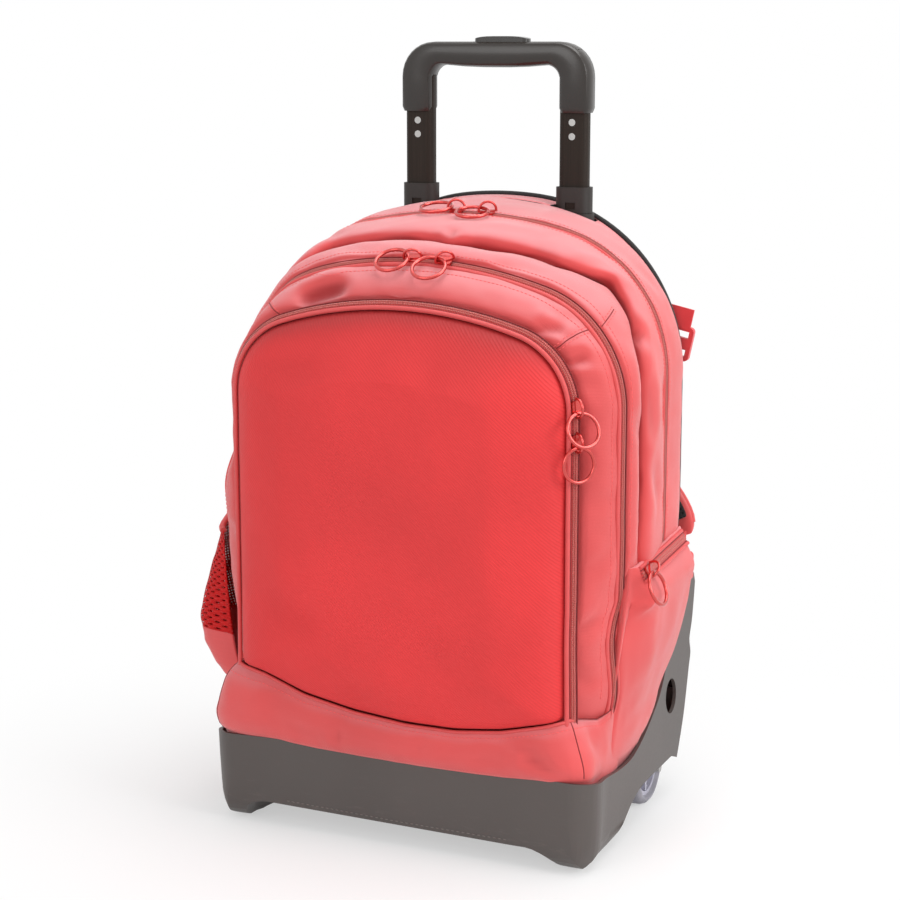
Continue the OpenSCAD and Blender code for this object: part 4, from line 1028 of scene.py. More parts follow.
def main_bag_features(points, base):
    """The crease in front, the groove of the long zip and the folds of the main compartment."""
    x, y, z = np.moveaxis(base, -1, 0)
    low = ramp(110, 150, z)
    creased, uneven = crease(points, x, y, z)
    between = 6.6 * swelling(y, CREASE_Y, MAIN_ZIP_Y, 1.0, 0.5) + 2.0 * swelling(y, MAIN_ZIP_Y, 79.0)
    move = between * low - 6.0 * creased * uneven - 3.5 * bell(y, BACK_Y, 4.0)
    move, deep = sewn(points, y, low, MAIN_ZIP_Y, move, creased, MAIN_FOLDS, 23)
    # Painted shade along the seam to the back.
    return move, np.maximum(deep, 0.5 * bell(y, BACK_Y, 3.5))


def rows_between(start, end, step, zip_y):
    """Places of the outlines: even, but close together at the zip."""
    even_rows = np.linspace(start, end, int(round(abs(end - start) / step)) + 1)
    near = [zip_y + d for d in (-8, -6.8, -6, -5.2, -4.4, -3, 0, 3, 4.4, 5.2, 6, 6.8, 8)]
    return sorted([*(y for y in even_rows if abs(y - zip_y) > 8.6), *near])


def padded_piece(thing, finish, stands_for):
    """Finishes a sewn piece, subdivided once."""
    finish_piece(thing, finish, stands_for, 1)


def make_bag_cloth():
    """The two compartments, each one closed shell of cloth."""
    front_rows = rows_between(-106, -48, 2.9, FRONT_ZIP_Y) + [-46.4, -45.4, -44.7]
    main_rows = [-44.3, -43.6, -42.6] + rows_between(-41, 79.0, 3.6, MAIN_ZIP_Y)
    front = shell("front_bag", front_rows, lambda y: 84, front_bag_features)
    padded_piece(front, "cloth", ("front_compartment",))
    main = shell("main_bag", main_rows, lambda y: 62 if y < 16 else 80, main_bag_features)
    padded_piece(main, "cloth", ("main_compartment",))


# Inset from the panel's edge, then how far it stands out there and how far its foot rises
PANEL_CURVE = [(1.8, -2.6), (2.6, -0.6), (4.2, 2.4), (6.5, 5.6), (10, 9.4), (15, 13.2), (21, 16.6),
               (29, 20.2), (38, 23.4), (47, 26.0), (56, 28.0)]
PANEL_RISE = [(1.8, 0.4), (4.2, 1.2), (6.5, 2.2), (10, 4.4), (15, 8.6), (21, 14), (29, 21.5),
              (38, 29.5), (47, 37.5), (56, 46)]
PANEL_FLOOR = 150


def band_seam(x):
    return table(BAND_SEAM, x)


def panel_rings(across):
    """Closed rings of the front panel from its edge inwards, each one its arch and then its foot."""
    arch_points, arch_normals, _ = arch(POCKET, PANEL_FLOOR, (30, 16, 14))
    corner_z = corner_height(POCKET)
    rings = []
    for inset, out in PANEL_CURVE:
        half = POCKET[0] - POCKET_ZIP[2] - inset
        foot = table(PANEL_RISE, inset)
        moved = arch_points - arch_normals * (POCKET_ZIP[2] + inset)
        low = np.where(moved[:, 0] > 0, band_seam(half), band_seam(-half)) + foot
        share = np.clip((moved[:, 1] - PANEL_FLOOR) / (corner_z - PANEL_FLOOR), 0, 1)
        moved[:, 1] = np.where(moved[:, 1] < corner_z, low + (corner_z - low) * share, moved[:, 1])
        x = np.linspace(-half, half, across + 2)[1:-1]
        ring = np.vstack([moved, np.column_stack([x, band_seam(x) + foot])])
        rings.append(stood(ring, POCKET_ZIP[0] - 0.4 - out))
    return np.array(rings)


def panel_rows(ring, across, top):
    """Rows of points across the front panel's inner ring, from its foot to its crown."""
    arch_count = len(ring) - across
    foot, left_foot, right_foot = ring[arch_count:], ring[arch_count - 1], ring[0]
    straight = np.interp(foot[:, 0], [left_foot[0], right_foot[0]], [left_foot[2], right_foot[2]])
    share = np.linspace(0, 1, across + 2)[1:-1, None]
    rows = []
    for row in range(1, top):
        left, right = ring[arch_count - 1 - row], ring[row]
        line = left + (right - left) * share
        line[:, 2] += (foot[:, 2] - straight) * ramp(170, 0, right[2] - right_foot[2])
        rows.append(line)
    return np.array(rows)


def panel_faces(ring_count, count, across, top):
    """Faces of the front panel: between its rings, over its rows, round its rim and behind."""
    arch_count = count - across
    inner, start = (ring_count - 1) * count, ring_count * count
    back = start + (top - 1) * across

    def at(row, column):
        """Index of a point of the rows across: column -1 and the last one lie on the inner ring."""
        if column < 0:
            return inner + arch_count - 1 - row
        if column >= across:
            return inner + row
        return inner + arch_count + column if row == 0 else start + (row - 1) * across + column

    faces = quads(ring_count, count, True)
    for row in range(top - 1):
        faces += [(at(row, column), at(row, column + 1), at(row + 1, column + 1), at(row + 1, column))
                  for column in range(-1, across)]
    faces += [(at(top - 1, column), at(top - 1, column + 1), inner + top) for column in range(-1, across)]
    faces += [(k, back + k, back + (k + 1) % count, (k + 1) % count) for k in range(count)]
    faces += ladder([back + k for k in range(arch_count)])
    return faces + [[back + arch_count - 1, *range(back + arch_count, back + count), back]]


def make_front_panel():
    """The crowned front panel in one closed piece: rings from its edge, then rows across."""
    across = 33
    rings = panel_rings(across)
    count = rings.shape[1]
    top = (count - across) // 2
    rows = panel_rows(rings[-1], across, top)
    points = np.vstack([rings.reshape(-1, 3), rows.reshape(-1, 3), rings[0] + [0, 7.0, 0]])
    x, y, z = points.T
    inner = np.clip((-118 - y) / 24, 0, 1)
    crowned = np.cos(np.clip(x / 150, -1, 1) * math.pi / 2) * np.sin(np.clip((z - 110) / 340, 0, 1) * math.pi)
    slack = 2.2 * bell(z, 441, 12) * ramp(-20, -45, x) * ramp(-142, -118, x)
    move = (2.4 * crowned + slack + 1.5 * ripple(points, 110, 41) + 0.25 * ripple(points, 34, 42)) * inner
    move, deep = pressed(points, PANEL_FOLDS, move, np.zeros(len(points)), 1.0, 9.0, inner, 0.2)
    # Painted shade along the panel's edge, inside its piping; the folds above get painted shade too.
    deep = np.maximum(deep, 0.5 * ramp(-119.5, -116.0, y))
    points[:, 1] -= move
    faces = panel_faces(len(rings), count, across, top)
    thing = piece("front_panel", points, faces, np.column_stack([x, z]), deep)
    padded_piece(thing, "panel", ("front_pocket",))


# Half of the band's plan, front middle to flank: inside the base and at the seam above
BAND_FOOT = [(0, -119.4), (60, -119.4), (110, -119.4), (135, -118.8), (150, -116.0), (161.5, -108),
             (166.6, -94), (167.6, -80), (167.6, -62), (167.4, -44)]
BAND_TOP = [(0, -120.5), (60, -120.5), (110, -120), (130, -119.2), (143, -117), (150.5, -110),
            (154.0, -96), (163.0, -80), (168.4, -66), (169.0, -44)]
# How the band bulges between its foot, 0, and its seam, 1
BAND_BULGE = [(0, -0.6), (0.16, 0.0), (0.26, 4.6), (0.42, 8.4), (0.62, 9.0), (0.82, 6.8), (0.93, 3.8),
              (1.0, 0.4)]
BAND_FOOT_Z = 66


def band_plan(control):
    """The band's plan through its control points, left to right."""
    curve = smooth_path(np.column_stack([control, np.arange(len(control))]), 0.5)
    rank = np.arange(len(curve))
    at = np.interp(np.linspace(0, len(control) - 1, 90), curve[:, 2], rank)
    half = np.column_stack([np.interp(at, rank, curve[:, k]) for k in (0, 1)])
    return np.vstack([half[::-1] * [-1, 1], half[1:]])


def band_lines():
    """The band's plan at foot and seam, its seam height and how far it may bulge, left to right."""
    foot, seam = band_plan(BAND_FOOT), band_plan(BAND_TOP)
    x, y = seam.T
    flank = table([(-112, 0), (-94, -4), (-82, -7), (-66, -3), (-56, 2), (-44, 3)], y)
    corner = np.where(x > 0, band_seam(150), band_seam(-150))
    height = np.where(y > -112, corner + flank, band_seam(x))
    amount = table([(-119, 1.0), (-100, 0.8), (-80, 0.34), (-64, 0.08), (-44, -0.1)], foot[:, 1])
    return foot, seam, height, amount + 0.9 * bell(foot[:, 1], -108, 15) * ramp(-100, -135, foot[:, 0])


def band_row(share, foot, seam, height, amount):
    """The band's points at one share of the way from its foot inside the base to its seam."""
    way = unit(np.gradient(foot, axis=0))
    out = np.column_stack([way[:, 1], -way[:, 0]])
    flat = foot * (1 - share) + seam * share + out * table(BAND_BULGE, share) * amount[:, None]
    return np.column_stack([flat, BAND_FOOT_Z + (height - BAND_FOOT_Z) * share])


def make_band():
    """The lower band: tucked into the base, bulging over its rim, sewn to the panel above."""
    lines = band_lines()
    seam = lines[1]
    shares = [0, 0.1, 0.17, 0.21, 0.26, 0.33, 0.42, 0.52, 0.62, 0.72, 0.82, 0.89, 0.95, 1.0]
    outer = np.array([band_row(share, *lines) for share in shares])
    inwards = np.column_stack([unit([0, -60] - seam) * 5, np.zeros(len(seam))])
    normals = grid_normals(outer)
    if normals[7, len(seam) // 2, 1] > 0:
        normals = -normals
    rise = np.interp(np.arange(len(shares)), [0, 3, 6, 11, 13], [0, 0.2, 1, 0.6, 0])[:, None]
    rise = rise * np.ones(len(seam))
    move = (0.9 * ripple(outer, 70, 51) + 0.45 * ripple(outer, 26, 52)) * rise
    move, deep = pressed(outer, BAND_FOLDS, move, np.zeros(rise.shape), amount=np.minimum(1, rise * 2))
    # Painted shade in the top rows, under the seam to the panel; its folds get painted shade too.
    deep[-2:] = 0.25
    tucked = [outer[-1] + inwards - [0, 0, 1.5], outer[0] + inwards]
    points = np.concatenate([outer + normals * move[..., None], tucked]).transpose(1, 0, 2)
    corner = ramp(118, 156, np.abs(points[..., 0])) * ramp(-84, -110, points[..., 1])
    corner *= 4.6 * ramp(112, 82, points[..., 2])
    points[..., 0] += np.sign(points[..., 0]) * corner
    points[..., 1] -= 0.7 * corner
    length = np.abs(np.diff(seam, axis=0, prepend=seam[:1])).sum(axis=1).cumsum()
    cloth_map = np.stack([np.repeat(length[:, None], points.shape[1], axis=1), points[..., 2]], axis=-1)
    whole = np.concatenate([deep, np.zeros((2, len(seam)))]).T
    padded_piece(piece("bottom_band_cloth", points, None, cloth_map, whole), "cloth", ("bottom_band",))


def slackness(y):
    """How far the bottle pocket stands out along its length: slack in front, drawn in behind."""
    return table([(-76, 0), (-74, 0.35), (-71, 0.72), (-66, 0.93), (-58, 1), (-35, 0.94), (0, 0.74),
                  (30, 0.6), (46, 0.45), (56, 0.26), (61.5, 0)], y)


def flank_at(z):
    return FLANK - TAPER * drawn_in(z) ** 2


def flank_pocket(profile, side, start):
    """A pocket sewn on the flank: its outline in x and height, swept from front to back."""
    ys = np.linspace(start, 61.5, 46)
    return np.array([stood(profile(y) * [side, 1], y) for y in ys]), ys


# How far below its zip, and how much of its full swell the zipped pocket has there
SIDE_SWELL = [(1.4, 0.05), (0.6, 0.13), (-2, 0.23), (-8.2, 0.42), (-15.5, 0.66), (-21.5, 0.86), (-26, 0.97),
              (-32, 1.0), (-42, 1.0), (-54, 0.98), (-66, 0.95), (-78, 0.90), (-90, 0.83), (-102, 0.74),
              (-114, 0.64), (-126, 0.53), (-136, 0.43), (-144, 0.34), (-151, 0.26), (-157, 0.20),
              (-162, 0.15), (-168, 0.09), (-174, 0.04), (-179, 0.01), (-184, 0.0)]
SIDE_DEPTH, SIDE_TOP = 16.4, 249
# Front edge of the base's wing at each height, and height of the base's rim at each y
WING = [(70, -26), (76, -1), (88, 25), (105, 51), (125, 66), (148, 76), (166, 92), (184, 110), (200, 170)]
RIM = [(-95, 76), (-60, 71), (-26, 70), (-1, 76), (25, 88), (51, 105), (66, 125)]


def side_top(y):
    return SIDE_TOP + 0.076 * y


def side_profile(y):
    """Outline of the zipped pocket at y: down its swell to the base's rim, then up inside."""
    drop, share = np.array(SIDE_SWELL).T
    z = side_top(y) + drop * (1 + (side_top(y) - SIDE_TOP) / 184 * (drop < -50))
    half = table(HALF_WIDTH, y)
    flank = half - TAPER * drawn_in(z) ** 2
    grown = ramp(-67, table([(150, -22), (200, -34), (232, -50)], z), y) * ramp(62, 50, y)
    inside_wing = np.clip((table(WING, z) - 3 - y) / 20, 0, 1) ** 0.6
    edge = table([(-68, -2.2), (-66.5, 0.2), (-64.5, 1.8), (-60, 2.6), (50, 1.8), (61.5, 0.4)], y)
    edge = edge * ramp(70, 80, z) + 2.4 * bell(z, 96, 16) * ramp(-68, -60, y) + 0.3
    shoulder = SIDE_DEPTH * share * ramp(-67.5, -56, y) * ramp(62, 52, y) - 3.0 * ramp(-58, -68, y)
    x = np.where(drop > -34, 184.4 + shoulder, flank + edge + SIDE_DEPTH * share * grown * inside_wing)
    x = np.minimum(x, 168.3 + 1.7 * np.maximum(0, z - table(RIM, y) - 1.5))
    inside = [(flank[-1] - 3, z[-1]), (half - 9, 200), (flank[0] - 3, side_top(y))]
    return np.vstack([np.column_stack([x, z]), inside])


def make_side_pocket():
    """The zipped pocket on the right flank: flush at the front zip, down to the base's rim."""
    grid, ys = flank_pocket(side_profile, 1, -68.0)
    count = len(SIDE_SWELL)
    outer = grid[:, :count]
    rise = np.interp(np.arange(count), [0, 5, 8, 14, 19, 22], [0, 0.1, 1, 1, 0.3, 0])
    rise = rise * np.clip(1 - np.abs(ys / 66) ** 4, 0, 1)[:, None]
    move = (ripple(outer, 60, 61) + 0.4 * ripple(outer, 22, 62)) * rise
    move, deep = pressed(outer, SIDE_FOLDS, move, np.zeros(rise.shape), amount=rise)
    # Painted shade where the pocket meets the base's rim, and in its folds.
    deep = np.maximum(deep, 0.6 * (1 - ramp(1, 12, outer[..., 2] - table(RIM, outer[..., 1]))))
    grid[:, :count, 0] += move
    grid = drape(grid)
    whole = np.concatenate([deep, np.zeros((len(ys), 3))], axis=1)
    padded_piece(piece("side_pocket_cloth", grid, None, grid[..., 1:], whole), "cloth", ("side_pocket",))


BOTTLE_REACH = [(104, 10), (112, 26), (122, 36), (140, 43), (160, 44), (178, 36), (195, 29), (213, 22),
                (240, 10), (262, 5), (300, 4)]


def bottle_line(z, grow):
    """Distance of the bottle pocket's cloth from the middle of the bag."""
    return flank_at(np.clip(z, 118, 250)) + 0.8 + table(BOTTLE_REACH, z) * (0.06 + 0.94 * grow)


def bottle_profile(grow, top, foot, thick):
    """Outer line of the bottle pocket between two heights, and the same line thick inside it."""
    z = np.linspace(top, foot, 24)
    x = bottle_line(z, grow)
    inner = np.maximum(x - thick, flank_at(np.maximum(z, 118)) + 0.3)
    return np.vstack([np.column_stack([x, z]), np.column_stack([inner, z])[::-1]])


def bottle_rim(y):
    return 244 + 40 * np.clip((np.asarray(y, float) + 74) / 136, 0, 1) ** 0.8


def make_bottle_pocket():
    """The open pocket on the left flank: net above, cloth below, bound at its rim."""
    for name, finish, slot, stands_for, top, foot, thick in (
        ("bottle_pocket_net", "net", "mesh", ("bottle_pocket",), bottle_rim, lambda y: 156 + 0.10 * y, 1.6),
        ("bottle_pocket_foot", "cloth", "body_fabric", (), lambda y: 160 + 0.10 * y,
         lambda y: 105 + 20 * ramp(15, 58, y), 2.4),
    ):
        grid, ys = flank_pocket(lambda y: bottle_profile(slackness(y), top(y), foot(y), thick), -1, -76)
        grow = slackness(ys)[:, None]
        move = (1.5 * ripple(grid, 55, 71) + 0.6 * ripple(grid, 20, 72)) * grow
        if finish == "net":
            move += 1.6 * np.sin(grid[..., 1] / 9.0) * ramp(215, 265, grid[..., 2]) * grow
        else:
            move += 0.5
        grid[..., 0] -= move
        padded_piece(piece(name, grid, None, grid[..., 1:]), finish, stands_for)


# ---------------------------------------------------------------------------
# Padded back
# ---------------------------------------------------------------------------

# Where the pads meet the back they are sewn on
PAD_Y = 112.2
# Each pad's middle in x and height, half width, half height and corner radius
PADS = {"pad_lumbar": (0, 176, 118, 46, 30), "pad_left": (-66, 322, 54, 86, 24),
        "pad_right": (66, 322, 54, 86, 24), "pad_neck": (0, 452, 22, 34, 12)}


def cut_channel(panel, side):
    """Adds the channel of one tube to the padded back, and returns the block that cuts it."""
    work = bmesh.new()
    bmesh.ops.create_cube(work, size=1.0)
    bmesh.ops.scale(work, vec=Vector((35.4, 26.4, 800)) * MM, verts=work.verts)
    bmesh.ops.translate(work, vec=Vector((side * 72.5, 91.4, 400)) * MM, verts=work.verts)
    cutter = linked("channel", bpy.data.meshes.new("channel"))
    work.to_mesh(cutter.data)
    work.free()
    cut = panel.modifiers.new("Channel", "BOOLEAN")
    cut.operation, cut.solver, cut.object = "DIFFERENCE", "EXACT", cutter
    return cutter


def make_back_panel():
    """Padded back with two channels for the handle's tubes, and the pads sewn on it."""
    stations = [(79.3, 1.0), (81, 0.0), (88, 0.4), (98, 0.4), (104, 0.0), (107.5, 0.6), (110.2, 2.2),
                (111.6, 4.6), (112.0, 8.0)]
    rows = np.array([arch_row(y, 98, -inset, BACK)[0] for y, inset in stations])
    length = np.broadcast_to(arch(BACK, 98)[2], rows.shape[:2])
    panel = piece("back_panel_cover", rows, None, np.stack([length, rows[..., 1]], axis=-1))
    cutters = [cut_channel(panel, side) for side in (-1, 1)]
    plain(panel)
    for cutter in cutters:
        bpy.data.objects.remove(cutter)
    smooth_by_angle(panel, 32)
    finish_piece(panel, "padding", ("back_panel",))
    panel.data.materials.append(FINISHES["cloth"])
    for face in panel.data.polygons:
        middle = face.center / MM
        outside = abs(middle.x) > 92 or middle.z > 0.1 and face.normal.z > 0.7
        if -0.8 < face.normal.y < 0.35 and outside and middle.y < 107:
            face.material_index = 1
    for name, sizes in PADS.items():
        padded_piece(stuffed_pad(name, *sizes), "padding", ())


def places(mesh):
    """Places of a mesh's vertices, in metres."""
    flat = np.empty(len(mesh.vertices) * 3)
    mesh.vertices.foreach_get("co", flat)
    return flat.reshape(-1, 3)


def stuff(pad):
    """Swells a pad by cloth simulation, no place of it by more than 5 mm, and never into the back."""
    rest = places(pad.data)
    cloth = pad.modifiers.new("Cloth", "CLOTH")
    cloth.settings.use_pressure = True
    cloth.settings.uniform_pressure_force = 4.0
    cloth.settings.effector_weights.gravity = 0.0
    cloth.settings.quality = 5
    cloth.settings.mass = 0.3
    cloth.point_cache.frame_start, cloth.point_cache.frame_end = 1, 20
    for frame_number in range(1, 21):
        bpy.context.scene.frame_set(frame_number)
    plain(pad)
    bpy.context.scene.frame_set(1)
    step = places(pad.data) - rest
    far = np.linalg.norm(step, axis=1, keepdims=True)
    placed = rest + step * np.minimum(1, 5 * MM / np.maximum(far, 1e-9))
    placed[:, 1] = np.maximum(placed[:, 1], (PAD_Y - 0.05) * MM)
    pad.data.vertices.foreach_set("co", placed.ravel())


def stuffed_pad(name, x, z, half_w, half_h, corner):
    t = np.linspace(0, math.pi / 2, 9)
    quarter = np.column_stack([half_w - corner + corner * np.cos(t), half_h - corner + corner * np.sin(t)])
    outline = np.vstack([quarter, (quarter * [-1, 1])[::-1], -quarter, (quarter * [1, -1])[::-1]])
    layers = ((PAD_Y, 1.0), (PAD_Y + 0.4, 0.0), (PAD_Y + 4, 0.0), (PAD_Y + 6.2, 1.6), (PAD_Y + 7, 4.5))
    slab = [stood(outline * [1 - inset / half_w, 1 - inset / half_h] + [x, z], y) for y, inset in layers]
    pad = piece(name, np.array(slab))
    remesh = pad.modifiers.new("Voxels", "REMESH")
    remesh.mode, remesh.voxel_size, remesh.use_smooth_shade = "VOXEL", 5 * MM, True
    plain(pad)
    stuff(pad)
    lay_cloth(pad.data, places(pad.data)[:, [0, 2]])
    face_out(pad.data)
    shade_smooth(pad.data)
    return pad


# ---------------------------------------------------------------------------
# Straps
# ---------------------------------------------------------------------------

# The way out of the bag's back, towards the wearer
OUT = (0, 1, 0)
STRAP_PATH = [(60, 118.3, 488), (64, 126, 462), (70, 134, 424), (80, 138, 372), (98, 138, 320),
              (124, 136, 280), (151, 131, 249), (161, 125.5, 227)]
TAB_PATH = [(158, 127, 240), (160.2, 123.4, 232), (161, 119.4, 225.5), (161, 117.9, 219), (161, 117.9, 202)]
LOWER_PATH = [(161, 126, 197.8), (161, 121.5, 197.1), (161, 117.8, 195), (161, 117.4, 191),
              (160.5, 117.4, 182), (160.5, 117.4, 160), (160.5, 117.4, 130), (160.5, 114, 108),
              (160.5, 108.3, 88), (160.5, 108.1, 66)]
HALF_LOOP = [(0, 129.5, 509), (18, 128, 507), (36, 121, 501), (46, 114.6, 495), (58, 114.6, 487)]


def strip(name, path, section, finish, stands_for=(), subdivide=0):
    """A strap or webbing swept along a path, its section across and out."""
    side, out = frames(path, OUT)
    return finish_piece(sweep(name, path, side, out, section), finish, stands_for, subdivide)


def webbing_section(width, thick):
    w, t = width / 2, thick / 2
    return [(-w, -t * 0.5), (-w + t * 0.6, -t), (0, -t), (w - t * 0.6, -t), (w, -t * 0.5), (w, t * 0.5),
            (w - t * 0.6, t), (0, t), (-w + t * 0.6, t), (-w, t * 0.5)]


def make_straps():
    """Shoulder straps, their tabs, the haul loop and the lower webbing."""
    path = smooth_path(STRAP_PATH, 5.0)
    width = 63 - 24 * np.linspace(0, 1, len(path))
    width[-3:] *= [0.97, 0.9, 0.72]
    thick = np.full(len(path), 11.4)
    thick[:3] = [6, 9, 10.8]
    thick[-3:] = [10.5, 8, 5]
    section = np.array([oval(w, t, 24, 0.62) for w, t in zip(width, thick)])
    section[..., 1] *= 1 + 0.03 * np.sin(np.arange(len(path)) * 1.15)[:, None]
    lining = np.array([oval(w - 7, 1.6, 16, 0.7) for w in width])
    under, over = path - [0, 5.9, 0], (path + [0, 6.2, 0])[1:-2]
    half = width[1:-2, None] / 2 - 1.0
    edges = [path[1:-2] + frames(path, OUT)[0][1:-2] * (edge * half) for edge in (-1, 1)]
    rows = [over + frames(over, OUT)[0] * offset + [0, 0.8, 0] for offset in (-8.4, 8.4)]
    tab, lower = smooth_path(TAB_PATH, 3.0), smooth_path(LOWER_PATH, 3.0)
    for word, mirror in (("right", [1, 1, 1]), ("left", [-1, 1, 1])):
        strap = strip(f"shoulder_strap_pad_{word}", path * mirror, section, "cloth",
                      (f"shoulder_strap_{word}",), 1)
        strip(f"strap_lining_{word}", under[2:-3] * mirror, lining[2:-3], "padding", (), 1)
        strip(f"strap_webbing_{word}", over * mirror, webbing_section(20, 1.6), "coral_webbing")
        strip(f"strap_tab_{word}", tab * mirror, webbing_section(19.5, 1.5), "coral_webbing")
        strip(f"lower_webbing_{word}", lower * mirror, webbing_section(14, 1.6), "webbing",
              ("lower_webbing",))
        cord(f"strap_binding_{word}", [(line * mirror, OUT) for line in edges], 2.0, 10)
        sew(f"strap_stitches_{word}", [(line * mirror, OUT) for line in rows])
    loop = smooth_path([(-x, y, z) for x, y, z in HALF_LOOP[:0:-1]] + HALF_LOOP, 3.0)
    strip("haul_loop_webbing", loop, webbing_section(25, 4), "webbing", ("haul_loop",), 1)


# ---------------------------------------------------------------------------
# Zips and seams
# ---------------------------------------------------------------------------

# Search trees of the cloth pieces, by name, made when first asked for
CLOTH_OF = {}


def lay_on(name, points):
    """The nearest places on a cloth piece, and the cloth's outward directions there."""
    if name not in CLOTH_OF:
        from_piece = bmesh.new()
        from_piece.from_object(bpy.data.objects[name], bpy.context.evaluated_depsgraph_get())
        CLOTH_OF[name] = BVHTree.FromBMesh(from_piece)
        from_piece.free()
    found = [CLOTH_OF[name].find_nearest(Vector(point) * MM)[:2] for point in points]
    return np.array([place for place, _ in found]) / MM, np.array([normal for _, normal in found])


def zip_line(kind):
    """Middle of an arched zip, the way across its tape and the way out of it."""
    if kind == "pocket":
        front = arch_row(POCKET_ZIP[0], 120, -POCKET_ZIP[2], POCKET)[0]
        rear = arch_row(POCKET_ZIP[1], 120, 0, POCKET)[0]
    else:
        y, floor = {"front": (FRONT_ZIP_Y, 118), "main": (MAIN_ZIP_Y, 246)}[kind]
        front, rear = arch_row(y - 4.5, floor)[0], arch_row(y + 4.5, floor)[0]
    front, rear = drape(front), drape(rear)
    line = (front + rear) / 2
    middle = even(line, 2.4)
    across = unit(resampled(rear - front, line, len(middle)))
    out = unit(np.cross(np.gradient(middle, axis=0), across))
    return middle, across, out if out[len(out) // 2, 2] > 0 else -out


def lay_zip(kind, line, tape, coil, piping, shadow_line):
    """A zip's tape, coils, piping and dark cords as painted shadow lines; the last three as size, then places
    across and out.
    """
    middle, across, out = line
    finish_piece(sweep(f"zip_tape_{kind}", middle, across, out, tape), "tape",
                 (f"zip_track_{kind}",))

    def beside(spots):
        return [(middle + across * aside + out * up, out) for aside, up in spots]

    (width, height), *rows = coil
    along_lines(f"zip_coil_{kind}", "grains", beside(rows), {
        "Pitch": bpy.context.scene.backpack_sizes.coil_pitch, "Length": 1.25 * MM, "Width": width * MM,
        "Height": height * MM, "Turn": 0.16, "Unevenness": 0.0, "Seed": 3}, "coil")
    cord(f"piping_{kind}", beside(piping[1:]), piping[0])
    # Dark cords beside the tape as painted shadow lines of the zip's groove.
    cord(f"seam_lines_{kind}", beside(shadow_line[1:]), shadow_line[0], 8, finish="seam")


def tape_section(half):
    """Both halves of a zip tape's section, from the right one listed from its foot to its middle."""
    return [(-half[0][0], half[0][1]), *half, *[(-across, out) for across, out in half[-2:0:-1]]]


def make_zip(kind):
    """One arched zip: tape in its groove, two rows of coil, piping in front and thin dark cords as painted
    shadow lines.
    """
    tape = tape_section([(4.4, -2.0), (4.4, -0.9), (2.5, -0.6), (2.1, 0.0), (0.3, 0.1), (0, -0.15)])
    radius = bpy.context.scene.backpack_sizes.piping / MM
    if kind == "main":
        radius *= 0.72
        place = (-4.6 - radius, -0.2)
    else:
        place = (-4.6 - radius * 0.82, 0.35)
    lay_zip(kind, zip_line(kind), tape, ((2.1, 1.5), (-1.05, 0.15), (1.05, 0.15)), (radius, place),
            (0.62, (3.9, -0.35), (-3.5, -0.35)))


def make_side_zip():
    """The short straight zip of the side pocket, with piping on both edges."""
    tilt = math.radians(30)
    y = np.arange(-56, 52.1, 2.0)
    foot = flank_at(SIDE_TOP) + 1.4 + 9 * math.sin(tilt)
    middle = np.column_stack([foot + y * 0, y, side_top(y) + 1.5 - 9 * math.cos(tilt)])
    out = np.broadcast_to([math.cos(tilt), 0, math.sin(tilt)], middle.shape)
    across = np.broadcast_to([-math.sin(tilt), 0, math.cos(tilt)], middle.shape)
    tape = tape_section([(4.4, -1.0), (4.4, 0.7), (2.9, 1.0), (2.4, 1.35), (0.3, 1.4), (0, 1.2)])
    lay_zip("side", (middle, across, out), tape, ((2.4, 0.6), (-1.2, 1.3), (1.2, 1.3)),
            (1.7, (5.8, 0.9), (-5.8, 0.9)), (0.6, (3.9, 0.9), (-3.9, 0.9)))


def make_seams():
    """Topstitching beside the zips and on the band, dark cords as painted shadow lines along the short seams
    and the band's corner seams, and the band's piping.
    """
    stitched = []
    for name, y, floor in (("front_bag", FRONT_ZIP_Y - 11.5, 140), ("front_bag", FRONT_ZIP_Y + 8.5, 140),
                           ("main_bag", MAIN_ZIP_Y - 9.5, 262), ("main_bag", MAIN_ZIP_Y + 8.5, 262)):
        stitched.append(lay_on(name, even(drape(arch_row(y, floor)[0]), 3.0)))
    short = [smooth_path(seam, 2.0) for seam in SHORT_SEAMS]
    for line in short:
        side = unit(np.cross(np.gradient(line, axis=0), [0.35, -0.5, 0.8]))
        stitched += [lay_on("front_bag", line + side * offset) for offset in (-2.6, 2.6)]
    sew("topstitching", stitched, 0.15)
    # Dark cords as painted shadow lines along the short seams, the band's corners and the band's top on the
    # flanks.
    seams = [lay_on("front_bag", line) for line in short]
    lines = band_lines()
    seam = lines[1]
    for flank in (-1, 1):
        column = np.argmin(np.abs(seam[:, 0] - flank * 151) + np.abs(seam[:, 1] + 112))
        corner = np.array([band_row(share, *lines)[column] for share in np.linspace(0.2, 1.0, 18)])
        seams.append(lay_on("bottom_band_cloth", corner))
    top = band_row(1.0, *lines)
    for flank in (-1, 1):
        line = top[(top[:, 0] * flank > 0) & (top[:, 1] > -108)]
        seams.append((line, line - [0, -60, 110]))
    cord("seam_lines", [(line, unit(out)) for line, out in seams], 0.42, 8, 0.10, "seam")
    front = top[top[:, 1] < -108] + [0, -1.0, -0.6]
    cord("band_piping", [(even(front, 3.0), (0, -0.7, 0.7))], 1.5)
    below = band_row(0.90, *lines)
    sew("band_stitches", [lay_on("bottom_band_cloth", even(below[below[:, 1] < -60], 3.0))], 0.15)
    y = np.linspace(-75, 60.5, 60)
    rim = np.column_stack([-bottle_line(bottle_rim(y), slackness(y)), y, bottle_rim(y)])
    rim[:, 0] -= 1.6 * np.sin(y / 9.0) * slackness(y) - 0.6
    cord("bottle_pocket_rim", [(rim, (0, 0, 1))], 2.9)
    edge = even(arch_row(108.5, 100, 0.6, BACK)[0], 4.0)
    cord("back_binding", [(edge, OUT)], 2.6, finish="webbing")


# ---------------------------------------------------------------------------
# Mouldings and metal
# ---------------------------------------------------------------------------

